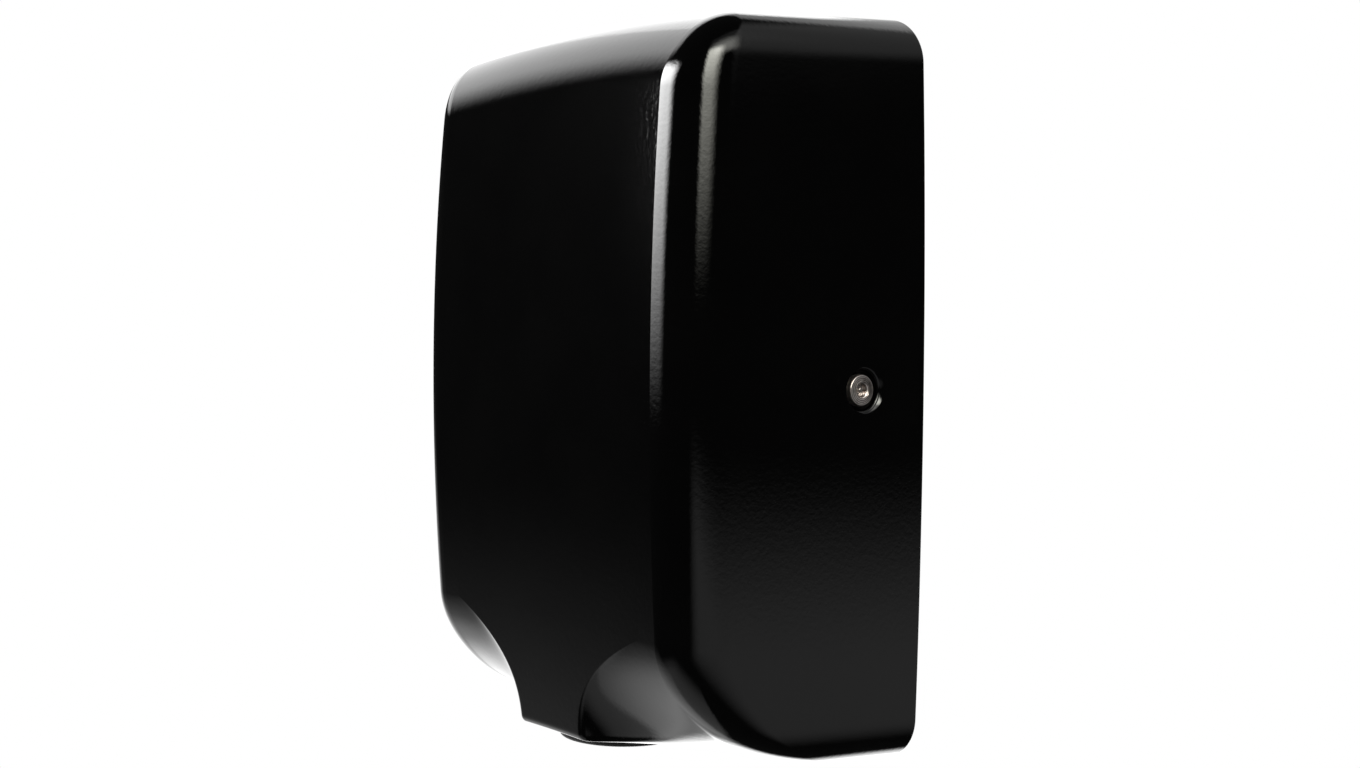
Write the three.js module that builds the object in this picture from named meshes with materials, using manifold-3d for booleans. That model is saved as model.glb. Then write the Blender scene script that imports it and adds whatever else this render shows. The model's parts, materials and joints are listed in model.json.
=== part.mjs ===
// Compact wall-mounted hand dryer.
//
// Millimetres. +X is to the right as seen from the front, the front faces -Y and +Z is up.
// Everything is drawn with x, depth (the distance from the wall, so y = -depth) and height
// (from the lowest line of the cover). The last lines move the origin to the wall plane.

import * as THREE from 'three';
import { mergeVertices } from 'three/addons/utils/BufferGeometryUtils.js';
import Module from 'manifold-3d';

const wasm = await Module();
wasm.setup();

// ---------------------------------------------------------------- driving dimensions

// Cover, before its draft and its slight bulge.
const cover = {
  height: 250,
  halfWidth: 90.5,
  depth: 95.5,
  cornerRadius: 17.5,
  topSideRadius: 15.5,
  topFrontRadius: 26.5,
  bottomSideRadius: 14.5,
  bellyHeight: 42,
  bellyDepth: 57,
  noseHalfWidth: 23.5,
  noseTopHalfWidth: 67,
  noseCornerRadius: 4,
  noseEdgeRadius: 2.5,
  flankLeadIn: 4,
  flankLeadOut: 18,
};
const NOSE_SPREAD_POWER = 2.5;
const NOSE_TURN = THREE.MathUtils.degToRad(60);
const BELLY_EASE = 0.08;
const SIDE_DRAFT = 0.106;
const END_DRAFT = 0.041;
const SIDE_BULGE = 2.5;
const FRONT_BULGE = 6.5;
const TOP_CROWN = 4;
const BOTTOM_CROWN = 3;
const COVER_WALL = 2;
const SECTION_CENTRE = [0, 30];

// Gap left between neighbours that touch.
const GAP = 0.3;

// Air intake, a row of slots in the underside behind the nose.
const INTAKE_REACH = 45;
const INTAKE_PITCH = 10;
const INTAKE_HALF_WIDTH = 2;
const INTAKE_DEPTH = [10, 30];

// Cover screws, M6 low heads sunk in round dimples until their faces are nearly flush.
const SCREW_DEPTH = 26;
const SCREW_HEIGHT = 123.5;
const HEAD_RADIUS = 5.25;
const HEAD_LENGTH = 3.3;
const HEAD_RIM = 0.4;
const SOCKET_RIM = 2.7;
const SHANK_RADIUS = 3;
const SHANK_LENGTH = 12;
const DIMPLE_WALL = 6.7;
const DIMPLE_RADIUS = 7.6;
const DIMPLE_DEPTH = 3.6;
const BOSS_RADIUS = 10.5;
const SEAT_X = cover.halfWidth - SIDE_DRAFT * SCREW_DEPTH - DIMPLE_DEPTH;
const BOSS_X = SEAT_X - 2;

// Back plate, and the slotted side brackets that take the cover screws.
const SHEET = 2;
const PLATE_HALF_WIDTH = 83;
const PLATE_LOW = 6;
const PLATE_HIGH = 242;
const PLATE_CORNER = 14;
const BRACKET_X = BOSS_X - 0.6;
const BRACKET_FRONT = 34;
const BRACKET_HALF_HEIGHT = 30;
const BRACKET_FOOT = 14;
const LIP_LENGTH = 7.5;
const LIP_BACK = 20;
const SLOT_RADIUS = 3.4;
const SLOT_END_GAP = 0.4;
const NUT_THICKNESS = 3.2;
const NUT_ACROSS = 10;
const NUT_X = BRACKET_X - SHEET - GAP;
const CABLE_X = 62;
const CABLE_HEIGHT = 70;
const CABLE_HOLE_RADIUS = 10;
const EARTH_SCREW = [48, 0.3, 86];
const WALL_SLOTS = [[-66, 176], [66, 176], [-40, 19], [40, 19]];
const WALL_SLOT_RADIUS = 3.25;
const WALL_SLOT_RISE = 5;
const BOARD_PEG_X = 58;
const BOARD_PEG_INSET = 6;

// Blower: one upright axis through the fan, the motor and the casing.
const AXIS_DEPTH = 48;
const CASING_RADIUS = 40;
const CASING_WALL = 2;
const CASING_LOW = 62.3;
const CASING_HIGH = 170;
const SHAFT_RADIUS = 3;
const BORE_RADIUS = SHAFT_RADIUS + GAP;
const BEARING_RADIUS = 9.5;
const FAN_RADIUS = 34;
const FAN_LOW = 146;
const FAN_HIGH = 159;
const BLADE_COUNT = 9;
const STRAP_HEIGHT = 117;
const STRAP_SCREW_X = 55;
const STRAP_HOLE_RADIUS = 2.2;
const SLEEVE_RADIUS = CASING_RADIUS + 1.8;

// Outlet at the bottom of the nose.
const OUTLET_DEPTH = 57.5;
const OUTLET_RADIUS = 23;
const OUTLET_BORE = 19.5;
const OUTLET_LOW = -1;
const DUCT_LOW = 9.8;
const DUCT_LOW_RADIUS = 24;
const DUCT_WALL = 2;
const DUCT_RINGS = 5;

// Control board.
const BOARD_HALF_WIDTH = 66;
const BOARD_LOW = 186;
const BOARD_HIGH = 236;
const BOARD_DEPTH = 8;
const BOARD_FRONT = 9.6;

// Mid height of the cover, where the origin sits on the wall plane.
const ORIGIN_HEIGHT = cover.height / 2;

// ---------------------------------------------------------------- materials

function finish(color, roughness, metalness) {
  return () => new THREE.MeshStandardMaterial({ color, roughness, metalness });
}

const blackCoat = finish(0x0c0c0d, 0.28, 0.1);
const stainless = finish(0xb9b9b6, 0.3, 1);
const zincSteel = finish(0x9ea3a6, 0.45, 1);
const blackPlastic = finish(0x131313, 0.5, 0);
const greyPlastic = finish(0x5b5e61, 0.55, 0);
const rubber = finish(0x1b1b1b, 0.85, 0);
const laminations = finish(0x5d5a57, 0.5, 0.9);
const copper = finish(0xa9572c, 0.35, 1);
const brass = finish(0xb08d46, 0.35, 1);
const carbon = finish(0x232323, 0.7, 0.1);
const aluminium = finish(0xc2c4c6, 0.4, 1);
const mica = finish(0xb7ac92, 0.7, 0);
const boardGreen = finish(0x1f5a34, 0.5, 0);
const foam = finish(0x3a3a3c, 0.95, 0);
const darkLens = finish(0x160c10, 0.1, 0);
const clearGlass = finish(0xd8e2e0, 0.08, 0);
const whitePlastic = finish(0xdfdfda, 0.45, 0);

// ---------------------------------------------------------------- solids

// Turns a closed geometry into a solid, and turns it the right way out if need be.
function solidOf(geometry) {
  const plain = geometry.clone();
  plain.deleteAttribute('normal');
  plain.deleteAttribute('uv');
  const merged = mergeVertices(plain, 1e-4);
  const corners = merged.index.array;
  const kept = [];
  for (let i = 0; i < corners.length; i += 3) {
    const [a, b, c] = [corners[i], corners[i + 1], corners[i + 2]];
    if (a !== b && b !== c && a !== c) kept.push(a, b, c);
  }
  const vertProperties = new Float32Array(merged.attributes.position.array);
  const make = (list) =>
    new wasm.Manifold(new wasm.Mesh({ numProp: 3, vertProperties, triVerts: new Uint32Array(list) }));
  const solid = make(kept);
  return solid.volume() > 0 ? solid : make(kept.reverse());
}

function geometryOf(solid) {
  const mesh = solid.getMesh();
  const geometry = new THREE.BufferGeometry();
  geometry.setAttribute('position', new THREE.BufferAttribute(mesh.vertProperties, 3));
  geometry.setIndex(new THREE.BufferAttribute(mesh.triVerts, 1));
  return geometry;
}

function join(...solids) {
  return solids.reduce((whole, piece) => whole.add(piece));
}

function cut(whole, ...tools) {
  return tools.reduce((rest, tool) => rest.subtract(tool), whole);
}

// Block between two values of x, of depth and of height.
function block(x, depth, height) {
  const size = [x, depth, height].map(([low, high]) => high - low);
  const middle = [x, depth, height].map(([low, high]) => (low + high) / 2);
  return solidOf(new THREE.BoxGeometry(...size).translate(middle[0], -middle[1], middle[2]));
}

// Turns a geometry whose own axis is Y so that the axis runs the way asked, then places it.
const towards = {
  up: (g) => g.rotateX(Math.PI / 2),
  out: (g) => g.rotateX(Math.PI),
  right: (g) => g.rotateZ(-Math.PI / 2),
  left: (g) => g.rotateZ(Math.PI / 2),
};

function placed(geometry, way, [x, depth, height]) {
  return solidOf(towards[way](geometry).translate(x, -depth, height));
}

// Cylinder that starts at a point and runs the way asked.
function rod(radius, length, way, start, sides = 20) {
  const geometry = new THREE.CylinderGeometry(radius, radius, length, sides).translate(0, length / 2, 0);
  return placed(geometry, way, start);
}

// Body of revolution: the profile is a closed outline of [radius, distance along the axis].
function turned(profile, way, start, sides = 32) {
  const closed = [...profile, profile[0]].map(([r, y]) => new THREE.Vector2(r, y));
  return placed(new THREE.LatheGeometry(closed, sides), way, start);
}

function ring(inner, outer, length, way, start, sides = 32) {
  return turned([[inner, 0], [outer, 0], [outer, length], [inner, length]], way, start, sides);
}

// Flat outline of [x, height] points pushed outwards from one depth to another.
function sheetOf(outline, nearDepth, farDepth) {
  const geometry = new THREE.ExtrudeGeometry(outline, {
    depth: farDepth - nearDepth,
    bevelEnabled: false,
    curveSegments: 6,
  });
  return solidOf(geometry.rotateX(Math.PI / 2).translate(0, -nearDepth, 0));
}

// Outline with round corners.
function roundedRectangle(left, right, low, high, radius) {
  const shape = new THREE.Shape();
  shape.absarc(right - radius, low + radius, radius, -Math.PI / 2, 0);
  shape.absarc(right - radius, high - radius, radius, 0, Math.PI / 2);
  shape.absarc(left + radius, high - radius, radius, Math.PI / 2, Math.PI);
  shape.absarc(left + radius, low + radius, radius, Math.PI, 1.5 * Math.PI);
  shape.closePath();
  return shape;
}

// Round wire through [x, depth, height] points.
function wire(radius, points, steps, sides = 6) {
  const route = new THREE.CatmullRomCurve3(points.map(([x, d, h]) => new THREE.Vector3(x, -d, h)));
  const section = new THREE.Shape();
  for (let i = 0; i < sides; i += 1) {
    const angle = (i / sides) * 2 * Math.PI;
    const point = [radius * Math.cos(angle), radius * Math.sin(angle)];
    if (i === 0) section.moveTo(...point);
    else section.lineTo(...point);
  }
  section.closePath();
  return solidOf(new THREE.ExtrudeGeometry(section, { steps, extrudePath: route }));
}

// Closed skin through rings of [x, depth, height] points, with a flat fan over each end.
function lofted(rings, capCentre) {
  const count = rings[0].length;
  const points = rings.flat();
  const faces = [];
  for (let i = 0; i + 1 < rings.length; i += 1) {
    for (let j = 0; j < count; j += 1) {
      const a = i * count + j;
      const b = i * count + ((j + 1) % count);
      faces.push(a, b, b + count, a, b + count, a + count);
    }
  }
  const bottom = points.length;
  points.push(capCentre(rings[0]));
  points.push(capCentre(rings[rings.length - 1]));
  const lastRing = (rings.length - 1) * count;
  for (let j = 0; j < count; j += 1) {
    const next = (j + 1) % count;
    faces.push(bottom, next, j);
    faces.push(bottom + 1, lastRing + j, lastRing + next);
  }
  const geometry = new THREE.BufferGeometry();
  const flat = points.flatMap(([x, depth, height]) => [x, -depth, height]);
  geometry.setAttribute('position', new THREE.Float32BufferAttribute(flat, 3));
  geometry.setIndex(faces);
  return solidOf(geometry);
}

// ---------------------------------------------------------------- cover

// How far a round edge has drawn back, part of the way through it (0 at its start, 1 at its end).
function drawnBack(part, radius) {
  const along = THREE.MathUtils.clamp(part, 0, 1);
  return radius * (1 - Math.sqrt(1 - along * along));
}

// The belly beside the nose: 1 at the bottom line, 0 where it meets the front.
function bellySetBack(part) {
  const rounded = 1 - Math.sqrt(1 - (1 - part) ** 2);
  const eased = 1 - part * part * (3 - 2 * part);
  return BELLY_EASE * eased + (1 - BELLY_EASE) * rounded;
}

// Points of an arc, without its last point.
function arcPoints([x, depth], radius, from, to, count) {
  return Array.from({ length: count }, (_, i) => {
    const angle = from + ((to - from) * i) / count;
    return [x + radius * Math.cos(angle), depth + radius * Math.sin(angle)];
  });
}

// Right half of a level section, as [x, depth], from the back edge round to the middle of the front.
function halfSection(s, height, backDepth) {
  const topSide = drawnBack((height - s.height + s.topSideRadius) / s.topSideRadius, s.topSideRadius);
  const topFront = drawnBack((height - s.height + s.topFrontRadius) / s.topFrontRadius, s.topFrontRadius);
  const bottomSide = drawnBack(1 - height / s.bottomSideRadius, s.bottomSideRadius);
  const noseEdge = drawnBack(1 - height / s.noseEdgeRadius, s.noseEdgeRadius);
  const shrink = Math.max(topSide / s.topSideRadius, topFront / s.topFrontRadius);
  const corner = Math.max(s.cornerRadius * (1 - shrink), 1);
  const side = s.halfWidth - topSide - bottomSide;
  const front = s.depth - topFront;
  const part = THREE.MathUtils.clamp(height / s.bellyHeight, 0, 1);
  const belly = front - s.bellyDepth * bellySetBack(part);
  const spread = (s.noseTopHalfWidth - s.noseHalfWidth) * part ** NOSE_SPREAD_POWER;
  const noseSide = s.noseHalfWidth + spread;
  const noseFront = front - noseEdge;
  const noseCentre = [noseSide - s.noseCornerRadius, noseFront - s.noseCornerRadius];
  const noseStart = Math.PI / 2 - NOSE_TURN * (1 - part);
  const flankStart = [side - corner, belly];
  const flankEnd = [
    noseCentre[0] + s.noseCornerRadius * Math.cos(noseStart),
    noseCentre[1] + s.noseCornerRadius * Math.sin(noseStart),
  ];
  const span = Math.hypot(flankStart[0] - flankEnd[0], flankStart[1] - flankEnd[1]);
  const fullSpan = Math.hypot(s.halfWidth - s.cornerRadius - s.noseHalfWidth, s.bellyDepth);
  const leadIn = (s.flankLeadIn * span) / fullSpan;
  const leadOut = (s.flankLeadOut * span) / fullSpan;
  const flank = new THREE.CubicBezierCurve(
    new THREE.Vector2(...flankStart),
    new THREE.Vector2(flankStart[0] - leadIn, belly),
    new THREE.Vector2(
      flankEnd[0] + leadOut * Math.sin(noseStart),
      flankEnd[1] - leadOut * Math.cos(noseStart),
    ),
    new THREE.Vector2(...flankEnd),
  );
  return [
    [side, backDepth],
    ...arcPoints([side - corner, belly - corner], corner, 0, Math.PI / 2, 4),
    ...flank.getPoints(5).slice(0, -1).map((p) => [p.x, p.y]),
    ...arcPoints(noseCentre, s.noseCornerRadius, noseStart, Math.PI / 2, 2),
    [noseCentre[0], noseFront],
    [0, noseFront],
  ];
}

// Draft and bulge, which turn the plain sections into the drawn shape.
function drawn([x, depth, height]) {
  const middle = cover.height / 2;
  const up = (height - middle) / middle;
  const across = THREE.MathUtils.clamp(x / cover.halfWidth, -1.2, 1.2);
  const forward = THREE.MathUtils.clamp(depth / cover.depth, 0, 1);
  const crown = TOP_CROWN * Math.max(up, 0) ** 2 + BOTTOM_CROWN * Math.max(-up, 0) ** 2;
  const newDepth = depth - forward * FRONT_BULGE * up * up;
  const newX = x - across * (SIDE_BULGE * up * up + SIDE_DRAFT * newDepth);
  const newHeight = height - crown * across * across - END_DRAFT * newDepth * up;
  return [newX, newDepth, newHeight];
}

// Heights of the sections: close together in the round edges, far apart in between.
function sectionHeights(s) {
  const foot = [0, 0.1, 0.2, 0.35, 0.5];
  const low = foot.map((turn) => s.bottomSideRadius * (1 - Math.cos(turn * Math.PI)));
  const belly = [0.33, 0.67, 1].map((t) => THREE.MathUtils.lerp(s.bottomSideRadius, s.bellyHeight, t));
  const topStart = s.height - s.topFrontRadius;
  const body = [0.5, 1].map((t) => THREE.MathUtils.lerp(s.bellyHeight, topStart, t));
  const sines = [0.4, 0.7, 0.87, 0.97, 1];
  return [...low, ...belly, ...body, ...sines.map((sine) => topStart + s.topFrontRadius * sine)];
}

// Closed block with the cover's outline. The back face lies at backDepth.
function coverBlock(s, lift, backDepth) {
  const middle = SECTION_CENTRE;
  const ringAt = (height, scale) => {
    const right = halfSection(s, height, backDepth);
    const left = right.slice(0, -1).reverse().map(([x, depth]) => [-x, depth]);
    const backEdge = [-0.6, -0.2, 0.2, 0.6].map((part) => [part * right[0][0], backDepth]);
    const whole = [...right, ...left, ...backEdge];
    const scaled = whole.map(([x, depth]) => [x * scale, middle[1] + (depth - middle[1]) * scale]);
    return scaled.map(([x, depth]) => drawn([x, depth, height + lift]));
  };
  const heights = sectionHeights(s);
  const rings = [
    ringAt(0, 0.6),
    ...heights.map((height) => ringAt(height, 1)),
    ringAt(s.height, 0.5),
  ];
  const capHeight = (ring) => (ring === rings[0] ? lift : s.height + lift);
  return lofted(rings, (ring) => drawn([...middle, capHeight(ring)]));
}

// The same outline drawn in by the wall thickness.
function drawnIn(s, wall) {
  const inner = {};
  for (const [name, value] of Object.entries(s)) inner[name] = value - wall;
  inner.height = s.height - 2 * wall;
  inner.noseEdgeRadius = s.noseEdgeRadius - wall / 2;
  inner.flankLeadIn = s.flankLeadIn;
  inner.flankLeadOut = s.flankLeadOut;
  return inner;
}

// Everything on the right side is repeated on the left.
const mirrored = (solid) => solid.mirror([1, 0, 0]);
const bothSides = (solid) => join(solid, mirrored(solid));

function coverShell() {
  const outer = coverBlock(cover, 0, 0.5);
  const hollow = coverBlock(drawnIn(cover, COVER_WALL), COVER_WALL, -2);
  const bossLength = cover.halfWidth - SIDE_DRAFT * SCREW_DEPTH - BOSS_X - COVER_WALL / 2;
  const boss = rod(BOSS_RADIUS, bossLength, 'right', [BOSS_X, SCREW_DEPTH, SCREW_HEIGHT], 20);
  const flare = 2.4;
  const dimple = turned(
    [
      [0, 0], [DIMPLE_WALL - 0.5, 0], [DIMPLE_WALL, 0.5],
      [DIMPLE_WALL, DIMPLE_DEPTH - DIMPLE_RADIUS + DIMPLE_WALL],
      [DIMPLE_RADIUS + flare, DIMPLE_DEPTH + flare], [0, DIMPLE_DEPTH + flare],
    ],
    'right',
    [SEAT_X, SCREW_DEPTH, SCREW_HEIGHT],
    20,
  );
  const shankHole = rod(SLOT_RADIUS, 10, 'right', [BOSS_X - 1, SCREW_DEPTH, SCREW_HEIGHT], 16);
  const outletHole = rod(OUTLET_RADIUS + GAP, 20, 'up', [0, OUTLET_DEPTH, -8], 36);
  const windowHole = block([-8.3, 8.3], [83.2, 86.6], [-4, 12]);
  const slots = [];
  for (let x = -INTAKE_REACH; x <= INTAKE_REACH; x += INTAKE_PITCH) {
    slots.push(block([x - INTAKE_HALF_WIDTH, x + INTAKE_HALF_WIDTH], INTAKE_DEPTH, [-6, 8]));
  }
  const shell = join(cut(outer, hollow), bothSides(boss));
  return cut(shell, bothSides(dimple), bothSides(shankHole), outletHole, windowHole, ...slots);
}

// Low M6 head, slightly domed, with a hexagon socket round a security pin.
function coverScrew() {
  const top = SHANK_LENGTH + HEAD_LENGTH;
  const profile = [
    [0, 0], [SHANK_RADIUS, 0], [SHANK_RADIUS, SHANK_LENGTH], [HEAD_RADIUS, SHANK_LENGTH],
    [HEAD_RADIUS, top - 1.8 * HEAD_RIM], [HEAD_RADIUS - HEAD_RIM, top - 0.8 * HEAD_RIM],
    [SOCKET_RIM, top], [0, top],
  ];
  const start = [SEAT_X - SHANK_LENGTH + GAP / 2, SCREW_DEPTH, SCREW_HEIGHT];
  const body = turned(profile, 'right', start, 20);
  const socketStart = [start[0] + SHANK_LENGTH + 1.2, SCREW_DEPTH, SCREW_HEIGHT];
  const socket = cut(rod(2.31, 4, 'right', socketStart, 6), rod(0.9, 1.6, 'right', socketStart, 8));
  return cut(body, socket);
}

function coverNut() {
  const half = NUT_ACROSS / 2;
  const body = block(
    [NUT_X - NUT_THICKNESS, NUT_X],
    [SCREW_DEPTH - half, SCREW_DEPTH + half],
    [SCREW_HEIGHT - half, SCREW_HEIGHT + half],
  );
  const hole = rod(BORE_RADIUS, 6, 'right', [NUT_X - 5, SCREW_DEPTH, SCREW_HEIGHT], 16);
  return cut(body, hole);
}

function outletCollar() {
  const bottom = OUTLET_LOW;
  const profile = [
    [OUTLET_BORE, bottom + 0.6], [OUTLET_BORE + 0.6, bottom], [OUTLET_RADIUS - 1.2, bottom],
    [OUTLET_RADIUS - 0.35, bottom + 0.35], [OUTLET_RADIUS, bottom + 1.2], [OUTLET_RADIUS, 7.2],
    [25, 7.2], [25, 9.2], [OUTLET_BORE, 9.2],
  ];
  return turned(profile, 'up', [0, OUTLET_DEPTH, 0], 32);
}

function filterFrame() {
  return cut(
    block([-55, 55], [5, 32], [5.6, 9.4]),
    block([-51.5, 51.5], [8.5, 28.5], [5, 10]),
  );
}

// ---------------------------------------------------------------- wall plate

function backPlate() {
  const outline = roundedRectangle(-PLATE_HALF_WIDTH, PLATE_HALF_WIDTH, PLATE_LOW, PLATE_HIGH, PLATE_CORNER);
  const plate = sheetOf(outline, 0, SHEET);
  const pegs = [];
  for (const x of [-BOARD_PEG_X, BOARD_PEG_X]) {
    for (const height of [BOARD_LOW + BOARD_PEG_INSET, BOARD_HIGH - BOARD_PEG_INSET]) {
      pegs.push(rod(3, BOARD_DEPTH - GAP - 1, 'out', [x, 1, height], 8));
    }
  }
  const wallHoles = WALL_SLOTS.map(([x, height]) => {
    const top = rod(WALL_SLOT_RADIUS, 6, 'out', [x, -2, height + WALL_SLOT_RISE], 12);
    const bottom = rod(WALL_SLOT_RADIUS, 6, 'out', [x, -2, height], 12);
    const width = [x - WALL_SLOT_RADIUS, x + WALL_SLOT_RADIUS];
    const between = block(width, [-2, 4], [height, height + WALL_SLOT_RISE]);
    return join(top, bottom, between);
  });
  const cableHole = rod(CABLE_HOLE_RADIUS, 6, 'out', [CABLE_X, -2, CABLE_HEIGHT], 20);
  const strapHole = rod(STRAP_HOLE_RADIUS, 6, 'out', [STRAP_SCREW_X, -2, STRAP_HEIGHT], 12);
  const earthHole = rod(STRAP_HOLE_RADIUS, 6, 'out', [EARTH_SCREW[0], -2, EARTH_SCREW[2]], 12);
  return cut(join(plate, ...pegs), ...wallHoles, cableHole, bothSides(strapHole), earthHole);
}

// Angle bracket welded to the plate. Its slot is open to the front, so that the cover slides off
// with its screws and nuts still in it, and two lips keep the nut from turning.
function sideBracket() {
  const back = SHEET + GAP;
  const span = [SCREW_HEIGHT - BRACKET_HALF_HEIGHT, SCREW_HEIGHT + BRACKET_HALF_HEIGHT];
  const foot = block([BRACKET_X - BRACKET_FOOT, BRACKET_X], [back, back + SHEET], span);
  const side = block([BRACKET_X - SHEET, BRACKET_X], [back, BRACKET_FRONT], span);
  const lipLow = NUT_ACROSS / 2 + 0.4;
  const lipHigh = lipLow + SHEET;
  const lipX = [BRACKET_X - SHEET / 2 - LIP_LENGTH, BRACKET_X - SHEET / 2];
  const lipDepth = [LIP_BACK, BRACKET_FRONT];
  const lipAbove = block(lipX, lipDepth, [SCREW_HEIGHT + lipLow, SCREW_HEIGHT + lipHigh]);
  const lipBelow = block(lipX, lipDepth, [SCREW_HEIGHT - lipHigh, SCREW_HEIGHT - lipLow]);
  const slot = block(
    [BRACKET_X - 2 * SHEET, BRACKET_X + SHEET],
    [SCREW_DEPTH - SLOT_RADIUS - SLOT_END_GAP, BRACKET_FRONT + SHEET],
    [SCREW_HEIGHT - SLOT_RADIUS, SCREW_HEIGHT + SLOT_RADIUS],
  );
  return cut(join(foot, side, lipAbove, lipBelow), slot);
}

function cableGrommet() {
  const profile = [[6.5, 0.2], [9.7, 0.2], [9.7, 2.3], [12, 2.3], [12, 4], [8, 6], [6.5, 6]];
  return turned(profile, 'out', [CABLE_X, 0, CABLE_HEIGHT], 20);
}

const TERMINALS = [56, 63, 70];

function terminalBlock() {
  const body = block([52, 74], [2.3, 20], [24, 50]);
  const wells = TERMINALS.map((x) => rod(2.9, 4, 'out', [x, 17, 37], 10));
  const entries = TERMINALS.map((x) => block([x - 2, x + 2], [9, 14], [20, 34]));
  return cut(body, ...wells, ...entries);
}

// Cheese-head screw with a slot, driven towards the wall.
function slottedScrew(headRadius, headLength, shankRadius, shankLength) {
  const profile = [
    [0, 0], [shankRadius, 0], [shankRadius, shankLength], [headRadius, shankLength],
    [headRadius, shankLength + headLength - 0.4], [headRadius - 0.4, shankLength + headLength],
    [0, shankLength + headLength],
  ];
  const body = turned(profile, 'out', [0, 0, 0], 10);
  const top = shankLength + headLength;
  return cut(body, block([-headRadius, headRadius], [top - 0.9, top + 1], [-0.5, 0.5]));
}

// ---------------------------------------------------------------- blower

function blowerCasing() {
  const inside = CASING_RADIUS - CASING_WALL;
  const tall = CASING_HIGH - CASING_LOW;
  const tube = ring(inside, CASING_RADIUS, tall, 'up', [0, AXIS_DEPTH, CASING_LOW], 32);
  const rib = block([30.3, inside + 1], [AXIS_DEPTH - 1.5, AXIS_DEPTH + 1.5], [93, 126]);
  const ribFront = block([-1.5, 1.5], [AXIS_DEPTH + 30.3, AXIS_DEPTH + inside + 1], [93, 126]);
  const ribBack = block([-1.5, 1.5], [AXIS_DEPTH - inside - 1, AXIS_DEPTH - 30.3], [93, 126]);
  const ledge = ring(36.5, inside + 1, 2, 'up', [0, AXIS_DEPTH, CASING_LOW], 32);
  const leadHole = rod(2.2, 10, 'left', [-34, AXIS_DEPTH, 80], 12);
  return cut(join(tube, bothSides(rib), ribFront, ribBack, ledge), leadHole);
}

function fanInletCover() {
  const profile = [
    [15, 162], [17, 162], [18.5, CASING_HIGH + GAP], [CASING_RADIUS, CASING_HIGH + GAP],
    [CASING_RADIUS, CASING_HIGH + 2.5], [19, CASING_HIGH + 2.5], [15, 167],
  ];
  return turned(profile, 'up', [0, AXIS_DEPTH, 0], 32);
}

function impeller() {
  const floor = ring(BORE_RADIUS, FAN_RADIUS, 1.5, 'up', [0, AXIS_DEPTH, FAN_LOW], 27);
  const hub = ring(BORE_RADIUS, 7, 9, 'up', [0, AXIS_DEPTH, FAN_LOW], 18);
  const roof = ring(13.5, FAN_RADIUS, 1.3, 'up', [0, AXIS_DEPTH, FAN_HIGH - 1.3], 27);
  const outline = new THREE.Shape();
  outline.moveTo(10, 0);
  outline.quadraticCurveTo(21, 1, 30, 12.5);
  outline.lineTo(29, 13.5);
  outline.quadraticCurveTo(21, 3, 10, 1.4);
  outline.closePath();
  const bladeHeight = FAN_HIGH - FAN_LOW - 1.6;
  const options = { depth: bladeHeight, bevelEnabled: false, curveSegments: 3 };
  const blades = [];
  for (let i = 0; i < BLADE_COUNT; i += 1) {
    const blade = new THREE.ExtrudeGeometry(outline, options);
    blade.rotateZ((i / BLADE_COUNT) * 2 * Math.PI);
    blades.push(solidOf(blade.translate(0, -AXIS_DEPTH, FAN_LOW + 1)));
  }
  return join(floor, hub, roof, ...blades);
}

function impellerNut() {
  const start = [0, AXIS_DEPTH, FAN_LOW + 9 + GAP];
  return cut(rod(5.77, 4.5, 'up', start, 6), rod(BORE_RADIUS, 20, 'up', [0, AXIS_DEPTH, FAN_LOW], 16));
}

// Rotor core with straight slots cut along it.
function slottedCore(outer, low, high, slots, slotWidth, slotDepth) {
  const core = ring(BORE_RADIUS, outer, high - low, 'up', [0, AXIS_DEPTH, low], 24);
  const tools = [];
  for (let i = 0; i < slots; i += 1) {
    const slot = new THREE.BoxGeometry(slotDepth * 2, slotWidth, high - low + 2);
    slot.translate(outer, 0, 0).rotateZ(((i + 0.5) / slots) * 2 * Math.PI);
    tools.push(solidOf(slot.translate(0, -AXIS_DEPTH, (low + high) / 2)));
  }
  return cut(core, ...tools);
}

function stator() {
  const body = ring(19.6, 30, 32, 'up', [0, AXIS_DEPTH, 93.5], 28);
  const windows = [45, 135, 225, 315].map((degrees) => {
    const slot = new THREE.BoxGeometry(7, 9, 40).translate(24.8, 0, 0);
    slot.rotateZ(THREE.MathUtils.degToRad(degrees));
    return solidOf(slot.translate(0, -AXIS_DEPTH, 109.5));
  });
  return cut(body, ...windows);
}

function fieldCoil(low) {
  return turned(
    [[20.5, 0], [27, 0], [28.5, 1.5], [28.5, 3], [26.5, 4.3], [20.5, 4.3]],
    'up',
    [0, AXIS_DEPTH, low],
    24,
  );
}

function bearing(low) {
  const profile = [
    [BORE_RADIUS, 0], [5, 0], [5.4, 0.5], [7.4, 0.5], [7.8, 0], [BEARING_RADIUS, 0],
    [BEARING_RADIUS, 6], [BORE_RADIUS, 6],
  ];
  return turned(profile, 'up', [0, AXIS_DEPTH, low], 20);
}

const ARM_RADIUS = 37.6;

function bracketUpper() {
  const profile = [
    [BEARING_RADIUS + GAP, 131], [13, 131], [13, 138], [ARM_RADIUS, 138], [ARM_RADIUS, 141],
    [5, 141], [5, 138], [BEARING_RADIUS + GAP, 138],
  ];
  const disc = turned(profile, 'up', [0, AXIS_DEPTH, 0], 28);
  const holes = [];
  for (let i = 0; i < 8; i += 1) {
    const angle = (i / 8) * 2 * Math.PI;
    const centre = [31 * Math.cos(angle), AXIS_DEPTH + 31 * Math.sin(angle), 134];
    holes.push(rod(4.5, 10, 'up', centre, 8));
  }
  return cut(disc, ...holes);
}

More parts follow.
